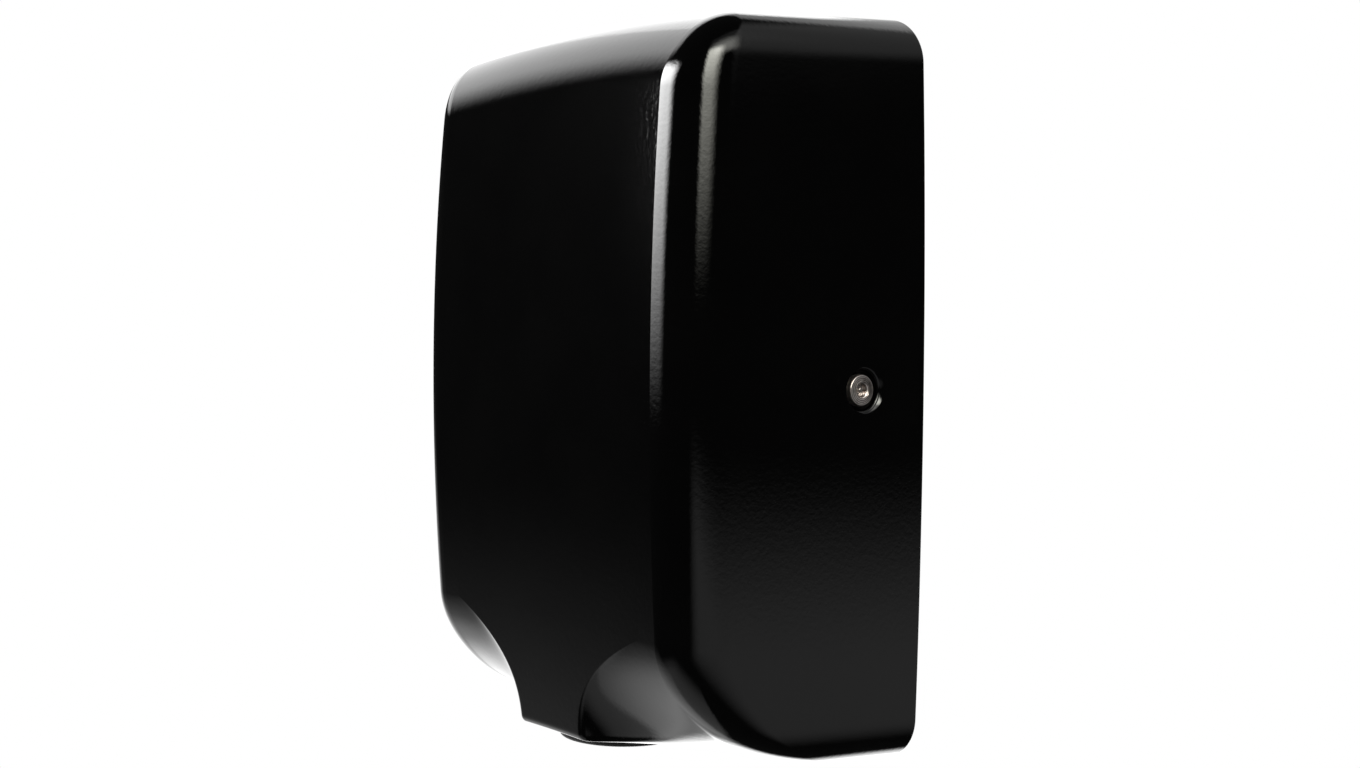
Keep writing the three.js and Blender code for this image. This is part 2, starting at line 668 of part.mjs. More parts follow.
function bracketLower() {
  const hub = turned(
    [[5, 65], [13, 65], [13, 71.5], [BEARING_RADIUS + GAP, 71.5], [BEARING_RADIUS + GAP, 66.7], [5, 66.7]],
    'up',
    [0, AXIS_DEPTH, 0],
    20,
  );
  const rim = ring(34, ARM_RADIUS, 4, 'up', [0, AXIS_DEPTH, 65], 28);
  const armX = block([12, 35], [AXIS_DEPTH - 3, AXIS_DEPTH + 3], [65, 69]);
  const armFront = block([-3, 3], [AXIS_DEPTH + 12, AXIS_DEPTH + 35], [65, 69]);
  const armBack = block([-3, 3], [AXIS_DEPTH - 35, AXIS_DEPTH - 12], [65, 69]);
  const post = block([22, 32], [AXIS_DEPTH - 3, AXIS_DEPTH + 3], [68, 74.2]);
  return join(hub, rim, bothSides(armX), armFront, armBack, bothSides(post));
}

function brush() {
  return block([10.4, 26], [AXIS_DEPTH - 3, AXIS_DEPTH + 3], [76, 84]);
}

function brushHolder() {
  const tube = block([14, 33.5], [AXIS_DEPTH - 4.3, AXIS_DEPTH + 4.3], [74.5, 85.5]);
  return cut(tube, block([13, 32.2], [AXIS_DEPTH - 3.3, AXIS_DEPTH + 3.3], [75.7, 84.3]));
}

function rubberSleeve() {
  const length = 18;
  const low = STRAP_HEIGHT - length / 2;
  return ring(CASING_RADIUS + GAP, SLEEVE_RADIUS, length, 'up', [0, AXIS_DEPTH, low], 32);
}

function casingStrap() {
  const inside = SLEEVE_RADIUS + GAP;
  const outside = inside + 1.2;
  const width = 14;
  const span = [STRAP_HEIGHT - width / 2, STRAP_HEIGHT + width / 2];
  const band = ring(inside, outside, width, 'up', [0, AXIS_DEPTH, span[0]], 32);
  const leg = block([inside + 0.1, outside], [SHEET + GAP, AXIS_DEPTH], span);
  const foot = block([inside + 0.1, 62], [SHEET + GAP, SHEET + GAP + 1.5], span);
  const hole = rod(STRAP_HOLE_RADIUS, 6, 'out', [STRAP_SCREW_X, 0, STRAP_HEIGHT], 12);
  return join(band, bothSides(cut(join(leg, foot), hole)));
}

// Round sections that shrink and lean forward from the casing to the outlet.
function ductBlock(inset, low, high) {
  const rings = [];
  for (let i = 0; i <= DUCT_RINGS; i += 1) {
    const height = THREE.MathUtils.lerp(low, high, i / DUCT_RINGS);
    const part = (height - DUCT_LOW) / (CASING_LOW - GAP - DUCT_LOW);
    const eased = THREE.MathUtils.smoothstep(part, 0, 1);
    const radius = THREE.MathUtils.lerp(DUCT_LOW_RADIUS, CASING_RADIUS, eased) - inset;
    const depth = THREE.MathUtils.lerp(OUTLET_DEPTH, AXIS_DEPTH, eased);
    rings.push(arcPoints([0, depth], radius, 0, 2 * Math.PI, 24).map(([x, d]) => [x, d, height]));
  }
  const centre = (points) => [0, (points[6][1] + points[18][1]) / 2, points[0][2]];
  return lofted(rings, centre);
}

function airDuct() {
  const outer = ductBlock(0, DUCT_LOW, CASING_LOW - GAP);
  const bore = ductBlock(DUCT_WALL, DUCT_LOW - 1, CASING_LOW - GAP + 1);
  const shelf = block([-11, 11], [76, 86.5], [20.3, 22.3]);
  const leadHole = rod(2.2, 12, 'left', [-28, 50, 56], 12);
  return cut(join(outer, shelf), bore, leadHole);
}

// ---------------------------------------------------------------- heater

const HEATER_DEPTH = 51;

function heaterFrame() {
  const half = 18.2;
  const across = block([-half, half], [HEATER_DEPTH - 0.5, HEATER_DEPTH + 0.5], [36, 60]);
  const along = block([-0.5, 0.5], [HEATER_DEPTH - half, HEATER_DEPTH + half], [36, 60]);
  const foot = block([-24.5, 24.5], [HEATER_DEPTH - 0.5, HEATER_DEPTH + 0.5], [36, 39]);
  return join(across, along, foot);
}

function heaterCoil() {
  const turns = 4;
  const steps = 44;
  const points = Array.from({ length: steps + 1 }, (_, i) => {
    const angle = (i / steps) * turns * 2 * Math.PI;
    const height = 42.5 + (14 * i) / steps;
    return [19.8 * Math.cos(angle), HEATER_DEPTH + 19.8 * Math.sin(angle), height];
  });
  return wire(0.8, points, steps, 5);
}

// ---------------------------------------------------------------- control board and sensor

function controlBoard() {
  const outline = roundedRectangle(-BOARD_HALF_WIDTH, BOARD_HALF_WIDTH, BOARD_LOW, BOARD_HIGH, 2);
  const trimmerBase = block([14, 24], [BOARD_FRONT - 0.2, 13.5], [191, 201]);
  return join(sheetOf(outline, BOARD_DEPTH, BOARD_FRONT), trimmerBase);
}

function heatSink() {
  const base = block([30, 60], [BOARD_FRONT + GAP, 36], [202, 204]);
  const fins = [];
  for (let x = 30; x <= 58; x += 7) fins.push(block([x, x + 2], [BOARD_FRONT + GAP, 36], [203, 220]));
  return join(base, ...fins);
}

const ROCKER = { x: -58, depth: 20.5, height: 198, tilt: THREE.MathUtils.degToRad(-9) };

function switchHousing() {
  const body = block([-65, -51], [BOARD_FRONT + GAP, 21], [188.5, 207.5]);
  return cut(body, block([-63.2, -52.8], [13, 22], [190.5, 205.5]));
}

// Rocker cap drawn about its own pivot, with two faces that meet in a shallow valley.
function rockerCap() {
  const outline = new THREE.Shape();
  outline.moveTo(-6.2, -1.5);
  outline.lineTo(6.2, -1.5);
  outline.lineTo(6.6, 3.4);
  outline.lineTo(0, 1.8);
  outline.lineTo(-6.6, 3.4);
  outline.closePath();
  const geometry = new THREE.ExtrudeGeometry(outline, { depth: 9.6, bevelEnabled: false });
  const upright = geometry.translate(0, 0, -4.8).rotateX(Math.PI / 2);
  return solidOf(upright.rotateY(Math.PI / 2).rotateZ(-Math.PI / 2));
}

function trimmerKnob() {
  const knob = rod(3.5, 2.5, 'out', [19, 13.8, 196], 20);
  return cut(knob, block([16.4, 21.6], [15.3, 17], [195.5, 196.5]));
}

function sensorLed(x) {
  const profile = [[0, 10.2], [1.2, 10.6], [2, 11.6], [2, 16.6], [2.4, 16.6], [2.4, 18], [0, 18]];
  return turned(profile, 'up', [x, 84.8, 0], 10);
}

// ---------------------------------------------------------------- internal wiring

const MAINS_LEAD = [[66, 12, 51], [67, 13, 75], [66, 12, 120], [64, 12, 160], [56, 13, 190]];
const EARTH_LEAD = [[56, 12, 51], [53, 12, 62], [47, 9, 74], [48, 7, 80]];
const MOTOR_LEAD = [
  [-36, 48, 80], [-45, 46, 80], [-54, 34, 96], [-57, 14, 130], [-46, 12, 165], [-40, 12.5, 192],
];
const HEATER_LEAD = [
  [-24, 50, 56], [-40, 50, 56], [-55, 42, 66], [-64, 18, 90],
  [-65, 12, 140], [-52, 12, 170], [-48.6, 12.5, 192],
];
const SENSOR_LEAD = [
  [11.5, 85, 19.2], [20, 83, 21], [33, 74, 28], [48, 58, 42], [57, 36, 62],
  [58, 14, 100], [58, 12, 150], [28, 12, 178], [26, 12.5, 190],
];

// ---------------------------------------------------------------- assembly

const dryer = new THREE.Group();
dryer.position.z = -ORIGIN_HEIGHT;

function add(name, solid, material, position, rotationX) {
  const mesh = new THREE.Mesh(geometryOf(solid), material());
  mesh.name = name;
  if (position) mesh.position.set(position[0], -position[1], position[2]);
  if (rotationX) mesh.rotation.x = rotationX;
  dryer.add(mesh);
}

function addPair(name, solid, material) {
  add(`${name}_right`, solid, material);
  add(`${name}_left`, mirrored(solid), material);
}

add('cover', coverShell(), blackCoat);
addPair('cover_screw', coverScrew(), stainless);
addPair('cover_nut', coverNut(), zincSteel);
add('outlet_collar', outletCollar(), blackPlastic);
add('sensor_window', block([-8, 8], [83.5, 86.3], [3.9, 8.6]), darkLens);
add('filter_frame', filterFrame(), greyPlastic);
add('intake_filter', block([-51.2, 51.2], [8.8, 28.2], [5.8, 9]), foam);

add('back_plate', backPlate(), zincSteel);
addPair('side_bracket', sideBracket(), zincSteel);
add('cable_grommet', cableGrommet(), rubber);
add('terminal_block', terminalBlock(), whitePlastic);
TERMINALS.forEach((x, i) => {
  add(`terminal_screw_${i + 1}`, slottedScrew(2.5, 2, 1.3, 1.5), brass, [x, 17.3, 37]);
});
add('earth_screw', slottedScrew(4, 2.6, 1.9, 2.6), brass, EARTH_SCREW);

add('blower_casing', blowerCasing(), blackPlastic);
add('fan_inlet_cover', fanInletCover(), blackPlastic);
add('air_duct', airDuct(), greyPlastic);
add('rubber_sleeve', rubberSleeve(), rubber);
add('casing_strap', casingStrap(), zincSteel);
for (const [side, x] of [['right', STRAP_SCREW_X], ['left', -STRAP_SCREW_X]]) {
  add(`strap_screw_${side}`, slottedScrew(4, 2.6, 1.9, 3.8), zincSteel, [x, 0.3, STRAP_HEIGHT]);
}

add('impeller', impeller(), whitePlastic);
add('impeller_nut', impellerNut(), brass);
add('motor_shaft', rod(SHAFT_RADIUS, 95, 'up', [0, AXIS_DEPTH, 67], 20), stainless);
add('armature', slottedCore(19, 93, 126, 12, 2.2, 6), laminations);
add('commutator', slottedCore(10, 74, 86, 12, 0.5, 1), copper);
add('bearing_upper', bearing(131.4), stainless);
add('bearing_lower', bearing(67), stainless);
add('stator', stator(), laminations);
add('field_coil_upper', fieldCoil(125.9), copper);
add('field_coil_lower', fieldCoil(88.8), copper);
add('bracket_upper', bracketUpper(), aluminium);
add('bracket_lower', bracketLower(), greyPlastic);
addPair('brush', brush(), carbon);
addPair('brush_holder', brushHolder(), brass);

add('heater_frame', heaterFrame(), mica);
add('heater_coil', heaterCoil(), stainless);
add('thermal_cutout', rod(4.3, 9, 'up', [9, HEATER_DEPTH - 8.5, 45], 18), aluminium);

add('control_board', controlBoard(), boardGreen);
add('relay', block([-48, -30], [BOARD_FRONT + GAP, 25], [210, 226]), blackPlastic);
add('capacitor', block([-22, 4], [BOARD_FRONT + GAP, 27], [213, 223]), greyPlastic);
add('heat_sink', heatSink(), aluminium);
add('triac', block([40, 50], [14, 29], [197, 201.5]), blackPlastic);
add('switch_housing', switchHousing(), blackPlastic);
add('heater_switch', rockerCap(), whitePlastic, [ROCKER.x, ROCKER.depth, ROCKER.height], ROCKER.tilt);
add('range_trimmer', trimmerKnob(), whitePlastic);
add('sensor_board', block([-10.5, 10.5], [82.8, 86.8], [18.3, 19.9]), boardGreen);
add('ir_emitter', sensorLed(-5), clearGlass);
add('ir_receiver', sensorLed(5), darkLens);

add('mains_lead', wire(2.2, MAINS_LEAD, 14), blackPlastic);
add('earth_lead', wire(1.3, EARTH_LEAD, 9), rubber);
add('motor_lead', wire(1.4, MOTOR_LEAD, 16), rubber);
add('heater_lead', wire(1.4, HEATER_LEAD, 18), rubber);
add('sensor_lead', wire(1.1, SENSOR_LEAD, 22), rubber);

export default dryer;
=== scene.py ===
"""Looks, light and camera for a compact wall-mounted hand dryer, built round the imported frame.

Metres, in the row frame: +X is to the right as seen from the front, the front faces -Y and +Z is up.
Shapes are drawn in millimetres as x, depth (the distance from the wall) and height (from the
lowest line of the cover), as the CAD source draws them.
"""

import json
import math

import bmesh
import bpy
import numpy as np
from mathutils import Matrix, Vector

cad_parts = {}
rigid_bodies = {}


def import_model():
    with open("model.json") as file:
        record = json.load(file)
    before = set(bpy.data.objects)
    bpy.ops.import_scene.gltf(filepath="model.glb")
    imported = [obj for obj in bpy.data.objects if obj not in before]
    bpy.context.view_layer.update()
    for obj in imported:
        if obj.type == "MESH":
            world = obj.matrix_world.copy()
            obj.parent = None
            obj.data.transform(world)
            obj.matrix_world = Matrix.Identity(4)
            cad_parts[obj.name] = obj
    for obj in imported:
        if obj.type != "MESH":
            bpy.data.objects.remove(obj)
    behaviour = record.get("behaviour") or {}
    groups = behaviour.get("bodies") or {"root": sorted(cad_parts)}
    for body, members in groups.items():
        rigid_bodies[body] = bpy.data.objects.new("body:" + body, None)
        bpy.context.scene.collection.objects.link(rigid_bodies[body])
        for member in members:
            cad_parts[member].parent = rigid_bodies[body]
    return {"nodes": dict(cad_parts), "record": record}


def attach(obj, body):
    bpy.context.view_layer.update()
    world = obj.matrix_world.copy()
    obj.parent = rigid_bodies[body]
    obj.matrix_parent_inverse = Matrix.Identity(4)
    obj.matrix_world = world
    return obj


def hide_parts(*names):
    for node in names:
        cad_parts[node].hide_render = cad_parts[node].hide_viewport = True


MM = 0.001
MICRON = 0.000001
ORIGIN_HEIGHT = 125.0

for left_over in list(bpy.data.objects):
    bpy.data.objects.remove(left_over)
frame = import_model()
bpy.context.view_layer.update()

# ---------------------------------------------------------------- dimensions

COVER = {
    "height": 250.0,
    "half_width": 90.5,
    "depth": 95.5,
    "corner": 17.5,
    "top_side": 15.5,
    "top_front": 26.5,
    "bottom_side": 14.5,
    "belly_height": 42.0,
    "belly_depth": 57.0,
    "nose_half": 23.5,
    "nose_top_half": 67.0,
    "nose_corner": 4.0,
    "nose_edge": 2.5,
}
FLANK_LEAD_IN = 4.0
FLANK_LEAD_OUT = 18.0
NOSE_SPREAD_POWER = 2.5
NOSE_TURN = math.radians(60)
BELLY_EASE = 0.08
SIDE_DRAFT = 0.106
END_DRAFT = 0.041
SIDE_BULGE = 2.5
FRONT_BULGE = 6.5
TOP_CROWN = 4.0
BOTTOM_CROWN = 3.0
COVER_WALL = 2.0
REAR_EDGE = 0.5
REAR_LIP = 0.8
LIP_TURN = 0.75

SCREW_DEPTH = 26.0
SCREW_HEIGHT = 123.5
DIMPLE_WALL = 6.7
DIMPLE_RADIUS = 7.8
DIMPLE_DEPTH = 3.6
DIMPLE_HOLLOW = 2.3
SEAT_X = COVER["half_width"] - SIDE_DRAFT * SCREW_DEPTH - DIMPLE_DEPTH
BOSS_RADIUS = 10.5
BOSS_X = SEAT_X - 2.0
SHANK_LENGTH = 12.0
SHANK_HOLE = 3.4
HOLE_LENGTH = 3.5

AXIS_DEPTH = 48.0
OUTLET_DEPTH = 57.5
OUTLET_RADIUS = 23.0
OUTLET_BORE = 19.5
OUTLET_CLEARANCE = 0.3
CASING_RADIUS = 40.0
CASING_LOW = 62.3
CASING_HIGH = 170.0
STRAP_HEIGHT = 117.0

WINDOW_HALF = 8.3
WINDOW_DEPTHS = (83.2, 86.6)
INTAKE_SLOTS = 10
INTAKE_PITCH = 10.0
INTAKE_WIDTH = 4.0
INTAKE_CORNER = 1.6
INTAKE_DEPTHS = (10, 30)

# ---------------------------------------------------------------- mesh helpers


def at(x, depth, height):
    """A point in metres in the row frame."""
    return Vector((x, -depth, height - ORIGIN_HEIGHT)) * MM


def new_object(name, points, faces):
    """A mesh object from points in mm given as (x, depth, height)."""
    mesh = bpy.data.meshes.new(name)
    mesh.from_pydata([at(*p) for p in points], [], faces)
    obj = bpy.data.objects.new(name, mesh)
    bpy.context.scene.collection.objects.link(obj)
    return obj


def face_outwards(obj):
    """Turns every face of a closed piece to the outside."""
    mesh = bmesh.new()
    mesh.from_mesh(obj.data)
    bmesh.ops.recalc_face_normals(mesh, faces=mesh.faces)
    mesh.to_mesh(obj.data)
    mesh.free()


def shade(obj, degrees):
    """Smooth shading, with edges sharper than this kept crisp."""
    obj.data.shade_smooth()
    obj.data.set_sharp_from_angle(angle=math.radians(degrees))


def dress(obj, body, finish, slot, *stands_for):
    """Gives a piece its material, its body and the CAD nodes that it stands for."""
    obj.data.materials.clear()
    obj.data.materials.append(finish)
    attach(obj, body)
    if stands_for:
        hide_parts(*stands_for)


def joined(name, objects):
    """One object made of several, which are removed."""
    mesh = bmesh.new()
    for obj in objects:
        mesh.from_mesh(obj.data)
    made = bpy.data.meshes.new(name)
    mesh.to_mesh(made)
    mesh.free()
    for obj in objects:
        bpy.data.objects.remove(obj)
    whole = bpy.data.objects.new(name, made)
    bpy.context.scene.collection.objects.link(whole)
    return whole


def boolean(obj, tool, operation):
    """Cuts the tool out of an object or adds it on, and removes the tool."""
    modifier = obj.modifiers.new("cut", "BOOLEAN")
    modifier.object = tool
    modifier.operation = operation
    modifier.solver = "MANIFOLD"
    bpy.context.view_layer.update()
    done = bpy.data.meshes.new_from_object(obj.evaluated_get(bpy.context.evaluated_depsgraph_get()))
    obj.modifiers.clear()
    obj.data = done
    bpy.data.objects.remove(tool)


# For each way an axis can point: two directions across it, then the axis itself.
WAYS = {
    "up": ((1, 0, 0), (0, 1, 0), (0, 0, 1)),
    "right": ((0, 1, 0), (0, 0, 1), (1, 0, 0)),
    "left": ((0, 1, 0), (0, 0, 1), (-1, 0, 0)),
}


def turned(name, profile, way, start, sides=96, turn=0.0):
    """Body of revolution from a closed profile of (radius, distance along the axis)."""
    across, upright, along = (np.array(v, float) for v in WAYS[way])
    points, faces = [], []
    count = len(profile)
    for i in range(sides):
        angle = 2 * math.pi * i / sides + turn
        ray = math.cos(angle) * across + math.sin(angle) * upright
        for radius, reach in profile:
            points.append(np.array(start, float) + ray * radius + along * reach)
    for i in range(sides):
        for j in range(count):
            a, b = i * count + j, i * count + (j + 1) % count
            c, d = ((i + 1) % sides) * count + j, ((i + 1) % sides) * count + (j + 1) % count
            faces.append((a, b, d, c))
    obj = new_object(name, points, faces)
    weld(obj)
    return obj


def weld(obj):
    """Merges points that lie on each other, such as a profile's points on the axis."""
    mesh = bmesh.new()
    mesh.from_mesh(obj.data)
    bmesh.ops.remove_doubles(mesh, verts=mesh.verts, dist=1e-7)
    bmesh.ops.dissolve_degenerate(mesh, edges=mesh.edges, dist=1e-8)
    bmesh.ops.recalc_face_normals(mesh, faces=mesh.faces)
    mesh.to_mesh(obj.data)
    mesh.free()


def arc(centre, radius, start, end, steps):
    """Points of an arc in a profile, angles in degrees."""
    angles = [math.radians(start + (end - start) * i / steps) for i in range(steps + 1)]
    return [(centre[0] + radius * math.cos(a), centre[1] + radius * math.sin(a)) for a in angles]


def round_edges(obj, radius, segments, upright_only=False):
    """Rounds all the edges of an object, or only those that run up and down."""
    mesh = bmesh.new()
    mesh.from_mesh(obj.data)
    edges = list(mesh.edges)
    if upright_only:
        edges = [e for e in edges if abs((e.verts[0].co - e.verts[1].co).normalized().z) > 0.9]
    bmesh.ops.bevel(mesh, geom=edges, offset=radius * MM, segments=segments, profile=0.5, affect="EDGES")
    mesh.to_mesh(obj.data)
    mesh.free()


def block(name, x, depth, height, rounding=0.0):
    """Box between two values of x, of depth and of height, with its edges rounded if asked for."""
    corners = [(i, j, k) for i in x for j in depth for k in height]
    faces = [(0, 1, 3, 2), (4, 6, 7, 5), (0, 4, 5, 1), (2, 3, 7, 6), (0, 2, 6, 4), (1, 5, 7, 3)]
    obj = new_object(name, corners, faces)
    if rounding:
        round_edges(obj, rounding, 2)
    face_outwards(obj)
    return obj


# ---------------------------------------------------------------- cover


def drawn_back(part, radius):
    """How far a round edge has drawn back, part of the way through it."""
    along = min(max(part, 0.0), 1.0)
    return radius * (1 - math.sqrt(1 - along * along))


def belly_set_back(part):
    """Share of the belly's depth by which the flanks stand back, part of the way up the belly."""
    rounded = 1 - math.sqrt(max(0.0, 1 - (1 - part) ** 2))
    eased = 1 - part * part * (3 - 2 * part)
    return BELLY_EASE * eased + (1 - BELLY_EASE) * rounded


def steps(start, end, count, last=True):
    """Evenly spaced values from start to end, with or without the last."""
    return [start + (end - start) * i / count for i in range(count + (1 if last else 0))]


# Points round a level section, from the rear edge to the middle of the front.
REAR_STEPS = [0.0, 0.1, 0.25, 0.5, REAR_LIP]
SIDE_STEPS = 8
CORNER_STEPS = 14
FLANK_STEPS = 36
NOSE_STEPS = 8
FRONT_STEPS = 16
# Sections up the cover: through the belly, up the wall and round the top edge.
BELLY_ROWS = 36
WALL_ROWS = 22
TOP_ROWS = 32


def half_section(s, height):
    """Right half of a level section as (x, depth), from the rear edge to the middle of the front."""
    top_side = drawn_back((height - s["height"] + s["top_side"]) / s["top_side"], s["top_side"])
    top_front = drawn_back((height - s["height"] + s["top_front"]) / s["top_front"], s["top_front"])
    bottom_side = drawn_back(1 - height / s["bottom_side"], s["bottom_side"])
    nose_edge = drawn_back(1 - height / s["nose_edge"], s["nose_edge"])
    shrink = max(top_side / s["top_side"], top_front / s["top_front"])
    corner = max(s["corner"] * (1 - shrink), 1.0)
    side = s["half_width"] - top_side - bottom_side
    front = s["depth"] - top_front
    part = min(max(height / s["belly_height"], 0.0), 1.0)
    belly = front - s["belly_depth"] * belly_set_back(part)
    nose_side = s["nose_half"] + (s["nose_top_half"] - s["nose_half"]) * part**NOSE_SPREAD_POWER
    nose_front = front - nose_edge
    centre = np.array((nose_side - s["nose_corner"], nose_front - s["nose_corner"]))
    nose_start = math.pi / 2 - NOSE_TURN * (1 - part)
    turned_to = np.array((math.cos(nose_start), math.sin(nose_start)))
    first = np.array((side - corner, belly))
    last = centre + s["nose_corner"] * turned_to
    full_span = math.hypot(s["half_width"] - s["corner"] - s["nose_half"], s["belly_depth"])
    scale = float(np.linalg.norm(first - last)) / full_span
    control = [
        first,
        first - np.array((FLANK_LEAD_IN * scale, 0.0)),
        last + FLANK_LEAD_OUT * scale * np.array((math.sin(nose_start), -math.cos(nose_start))),
        last,
    ]
    outline = [(side, REAR_EDGE + step) for step in REAR_STEPS]
    side_start = REAR_EDGE + REAR_STEPS[-1]
    outline += [(side, d) for d in steps(side_start, belly - corner, SIDE_STEPS, last=False)[1:]]
    for angle in steps(0.0, math.pi / 2, CORNER_STEPS, last=False):
        reach, rise = corner * math.cos(angle), corner * math.sin(angle)
        outline.append((side - corner + reach, belly - corner + rise))
    for i in range(FLANK_STEPS):
        t = i / FLANK_STEPS
        weights = ((1 - t) ** 3, 3 * t * (1 - t) ** 2, 3 * t * t * (1 - t), t**3)
        outline.append(tuple(sum(w * c for w, c in zip(weights, control))))
    for i in range(NOSE_STEPS):
        angle = nose_start + (math.pi / 2 - nose_start) * i / NOSE_STEPS
        outline.append(tuple(centre + s["nose_corner"] * np.array((math.cos(angle), math.sin(angle)))))
    outline += [(x, nose_front) for x in steps(centre[0], 0.0, FRONT_STEPS)]
    return outline


def drawn(points):
    """Draft and bulge, which turn the plain sections into the drawn shape."""
    x, depth, height = points[:, 0], points[:, 1], points[:, 2]
    middle = COVER["height"] / 2
    up = (height - middle) / middle
    across = np.clip(x / COVER["half_width"], -1.2, 1.2)
    forward = np.clip(depth / COVER["depth"], 0, 1)
    crown = TOP_CROWN * np.maximum(up, 0) ** 2 + BOTTOM_CROWN * np.maximum(-up, 0) ** 2
    new_depth = depth - forward * FRONT_BULGE * up * up
    new_x = x - across * (SIDE_BULGE * up * up + SIDE_DRAFT * new_depth)
    new_height = height - crown * across * across - END_DRAFT * new_depth * up
    return np.stack((new_x, new_depth, new_height), axis=1)


def section_heights(s):
    """Heights of the sections, closest together where the belly and the top edge turn most."""
    top_start = s["height"] - s["top_front"]
    low = [s["belly_height"] * (1 - math.cos(t)) for t in steps(0.0, math.pi / 2, BELLY_ROWS)]
    middle = steps(s["belly_height"], top_start, WALL_ROWS)[1:]
    top = [top_start + s["top_front"] * math.sin(t) for t in steps(0.0, math.pi / 2, TOP_ROWS)[1:]]
    return low + middle + top


def add_end_cap(points, faces, base, wide, height):
    """Fills the flat end of a skin whose outline starts at point base, and gives its rear edge."""
    first_front = (wide - 1) // 2 - FRONT_STEPS
    span = 2 * FRONT_STEPS
    grid = []
    for j in range(first_front):
        x, depth = points[base + j][0], points[base + j][1]
        line = [base + j]
        for k in range(1, span):
            line.append(len(points))
            points.append((x * (1 - 2 * k / span), depth, height))
        line.append(base + wide - 1 - j)
        grid.append(line)
    grid.append([base + first_front + k for k in range(span + 1)])
    for near, far in zip(grid, grid[1:]):
        for k in range(span):
            faces.append((near[k], near[k + 1], far[k + 1], far[k]))
    return grid[0]


def skin(s, lift, edge_sign):
    """One open-backed skin of the cover: its points, its faces and the loop along its rear edge.

    edge_sign says which way the rear lip is rounded: -1 inwards, +1 outwards.
    """
    heights = section_heights(s)
    rows = []
    for height in heights:
        right = half_section(s, height)
        left = [(-x, d) for x, d in reversed(right[:-1])]
        rows.append([(x, d, height) for x, d in right + left])
    wide, tall = len(rows[0]), len(rows)
    points = [p for row in rows for p in row]
    faces = []
    for i in range(tall - 1):
        for j in range(wide - 1):
            a = i * wide + j
            faces.append((a, a + 1, a + wide + 1, a + wide))
    bottom_edge = add_end_cap(points, faces, 0, wide, heights[0])
    top_edge = add_end_cap(points, faces, (tall - 1) * wide, wide, heights[-1])
    right_edge = [i * wide for i in range(tall)]
    left_edge = [i * wide + wide - 1 for i in range(tall)]
    loop = right_edge + top_edge[1:] + left_edge[::-1][1:] + bottom_edge[::-1][1:-1]
    flat = np.array(points, float)
    flat[:, 2] += lift
    placed = drawn(flat)
    return rounded_lip(placed, faces, edge_sign), faces, loop


def rounded_lip(points, faces, edge_sign):
    """Turns the last of the wall over at its rear edge, so that the edge is round."""
    quads = np.array(faces)
    a, b, c, d = (points[quads[:, k]] for k in range(4))
    normals = np.cross(c - a, d - b)
    summed = np.zeros_like(points)
    for k in range(4):
        np.add.at(summed, quads[:, k], normals)
    summed[:, 1] = 0
    lengths = np.linalg.norm(summed, axis=1)
    outwards = summed / np.maximum(lengths, 1e-9)[:, None]
    middle = np.array((0.0, 0.0, COVER["height"] / 2))
    away = np.sum(outwards * (points - middle), axis=1) < 0
    outwards[away] *= -1
    left = np.clip(REAR_LIP - (points[:, 1] - REAR_EDGE), 0, REAR_LIP)
    inset = REAR_LIP - np.sqrt(REAR_LIP**2 - left**2)
    return points + edge_sign * LIP_TURN * inset[:, None] * outwards


def cover_shell():
    """The plain shell: an outer skin and an inner one, joined along the rear edge."""
    inner = {name: size - COVER_WALL for name, size in COVER.items()}
    inner["height"] = COVER["height"] - 2 * COVER_WALL
    inner["nose_edge"] = COVER["nose_edge"] - COVER_WALL / 2
    outside, outer_faces, outer_loop = skin(COVER, 0.0, -1)
    inside, inner_faces, inner_loop = skin(inner, COVER_WALL, 1)
    count = len(outside)
    faces = list(outer_faces) + [tuple(count + k for k in reversed(f)) for f in inner_faces]
    for k in range(len(outer_loop)):
        a, b = outer_loop[k], outer_loop[(k + 1) % len(outer_loop)]
        c, d = inner_loop[(k + 1) % len(inner_loop)], inner_loop[k]
        faces.append((a, b, count + c, count + d))
    shell = new_object("cover_shell", np.vstack((outside, inside)), faces)
    weld(shell)
    return shell


def dimple_profile():
    """Seat, round wall and rounded lip of the pocket round a cover screw."""
    wall, lip = DIMPLE_WALL, DIMPLE_RADIUS - DIMPLE_WALL
    seat = [(0.0, 0.0), (wall - DIMPLE_HOLLOW, 0.0)]
    hollow = arc((wall - DIMPLE_HOLLOW, DIMPLE_HOLLOW), DIMPLE_HOLLOW, -90, 0, 12)
    edge = arc((DIMPLE_RADIUS, DIMPLE_DEPTH - lip), lip, 180, 100, 10)
    flare, outside = 9.4, DIMPLE_DEPTH + 2.9
    return seat + hollow[1:] + edge + [(flare, outside - 1), (flare, outside), (0.0, outside)]


def cylinder_profile(radius, length):
    return [(0, 0), (radius, 0), (radius, length), (0, length)]


def side_tools(way):
    """What a cover screw needs: a boss to add inside the wall, and a dimple with its hole to cut."""
    sign = 1 if way == "right" else -1
    boss_length = COVER["half_width"] - SIDE_DRAFT * SCREW_DEPTH - BOSS_X - COVER_WALL / 2
    start = (sign * BOSS_X, SCREW_DEPTH, SCREW_HEIGHT)
    boss = turned("boss", cylinder_profile(BOSS_RADIUS, boss_length), way, start)
    seat = (sign * SEAT_X, SCREW_DEPTH, SCREW_HEIGHT)
    hole = [(0, -HOLE_LENGTH), (SHANK_HOLE, -HOLE_LENGTH), (SHANK_HOLE, 0.0)]
    dimple = turned("dimple", hole + dimple_profile()[1:], way, seat)
    return boss, dimple


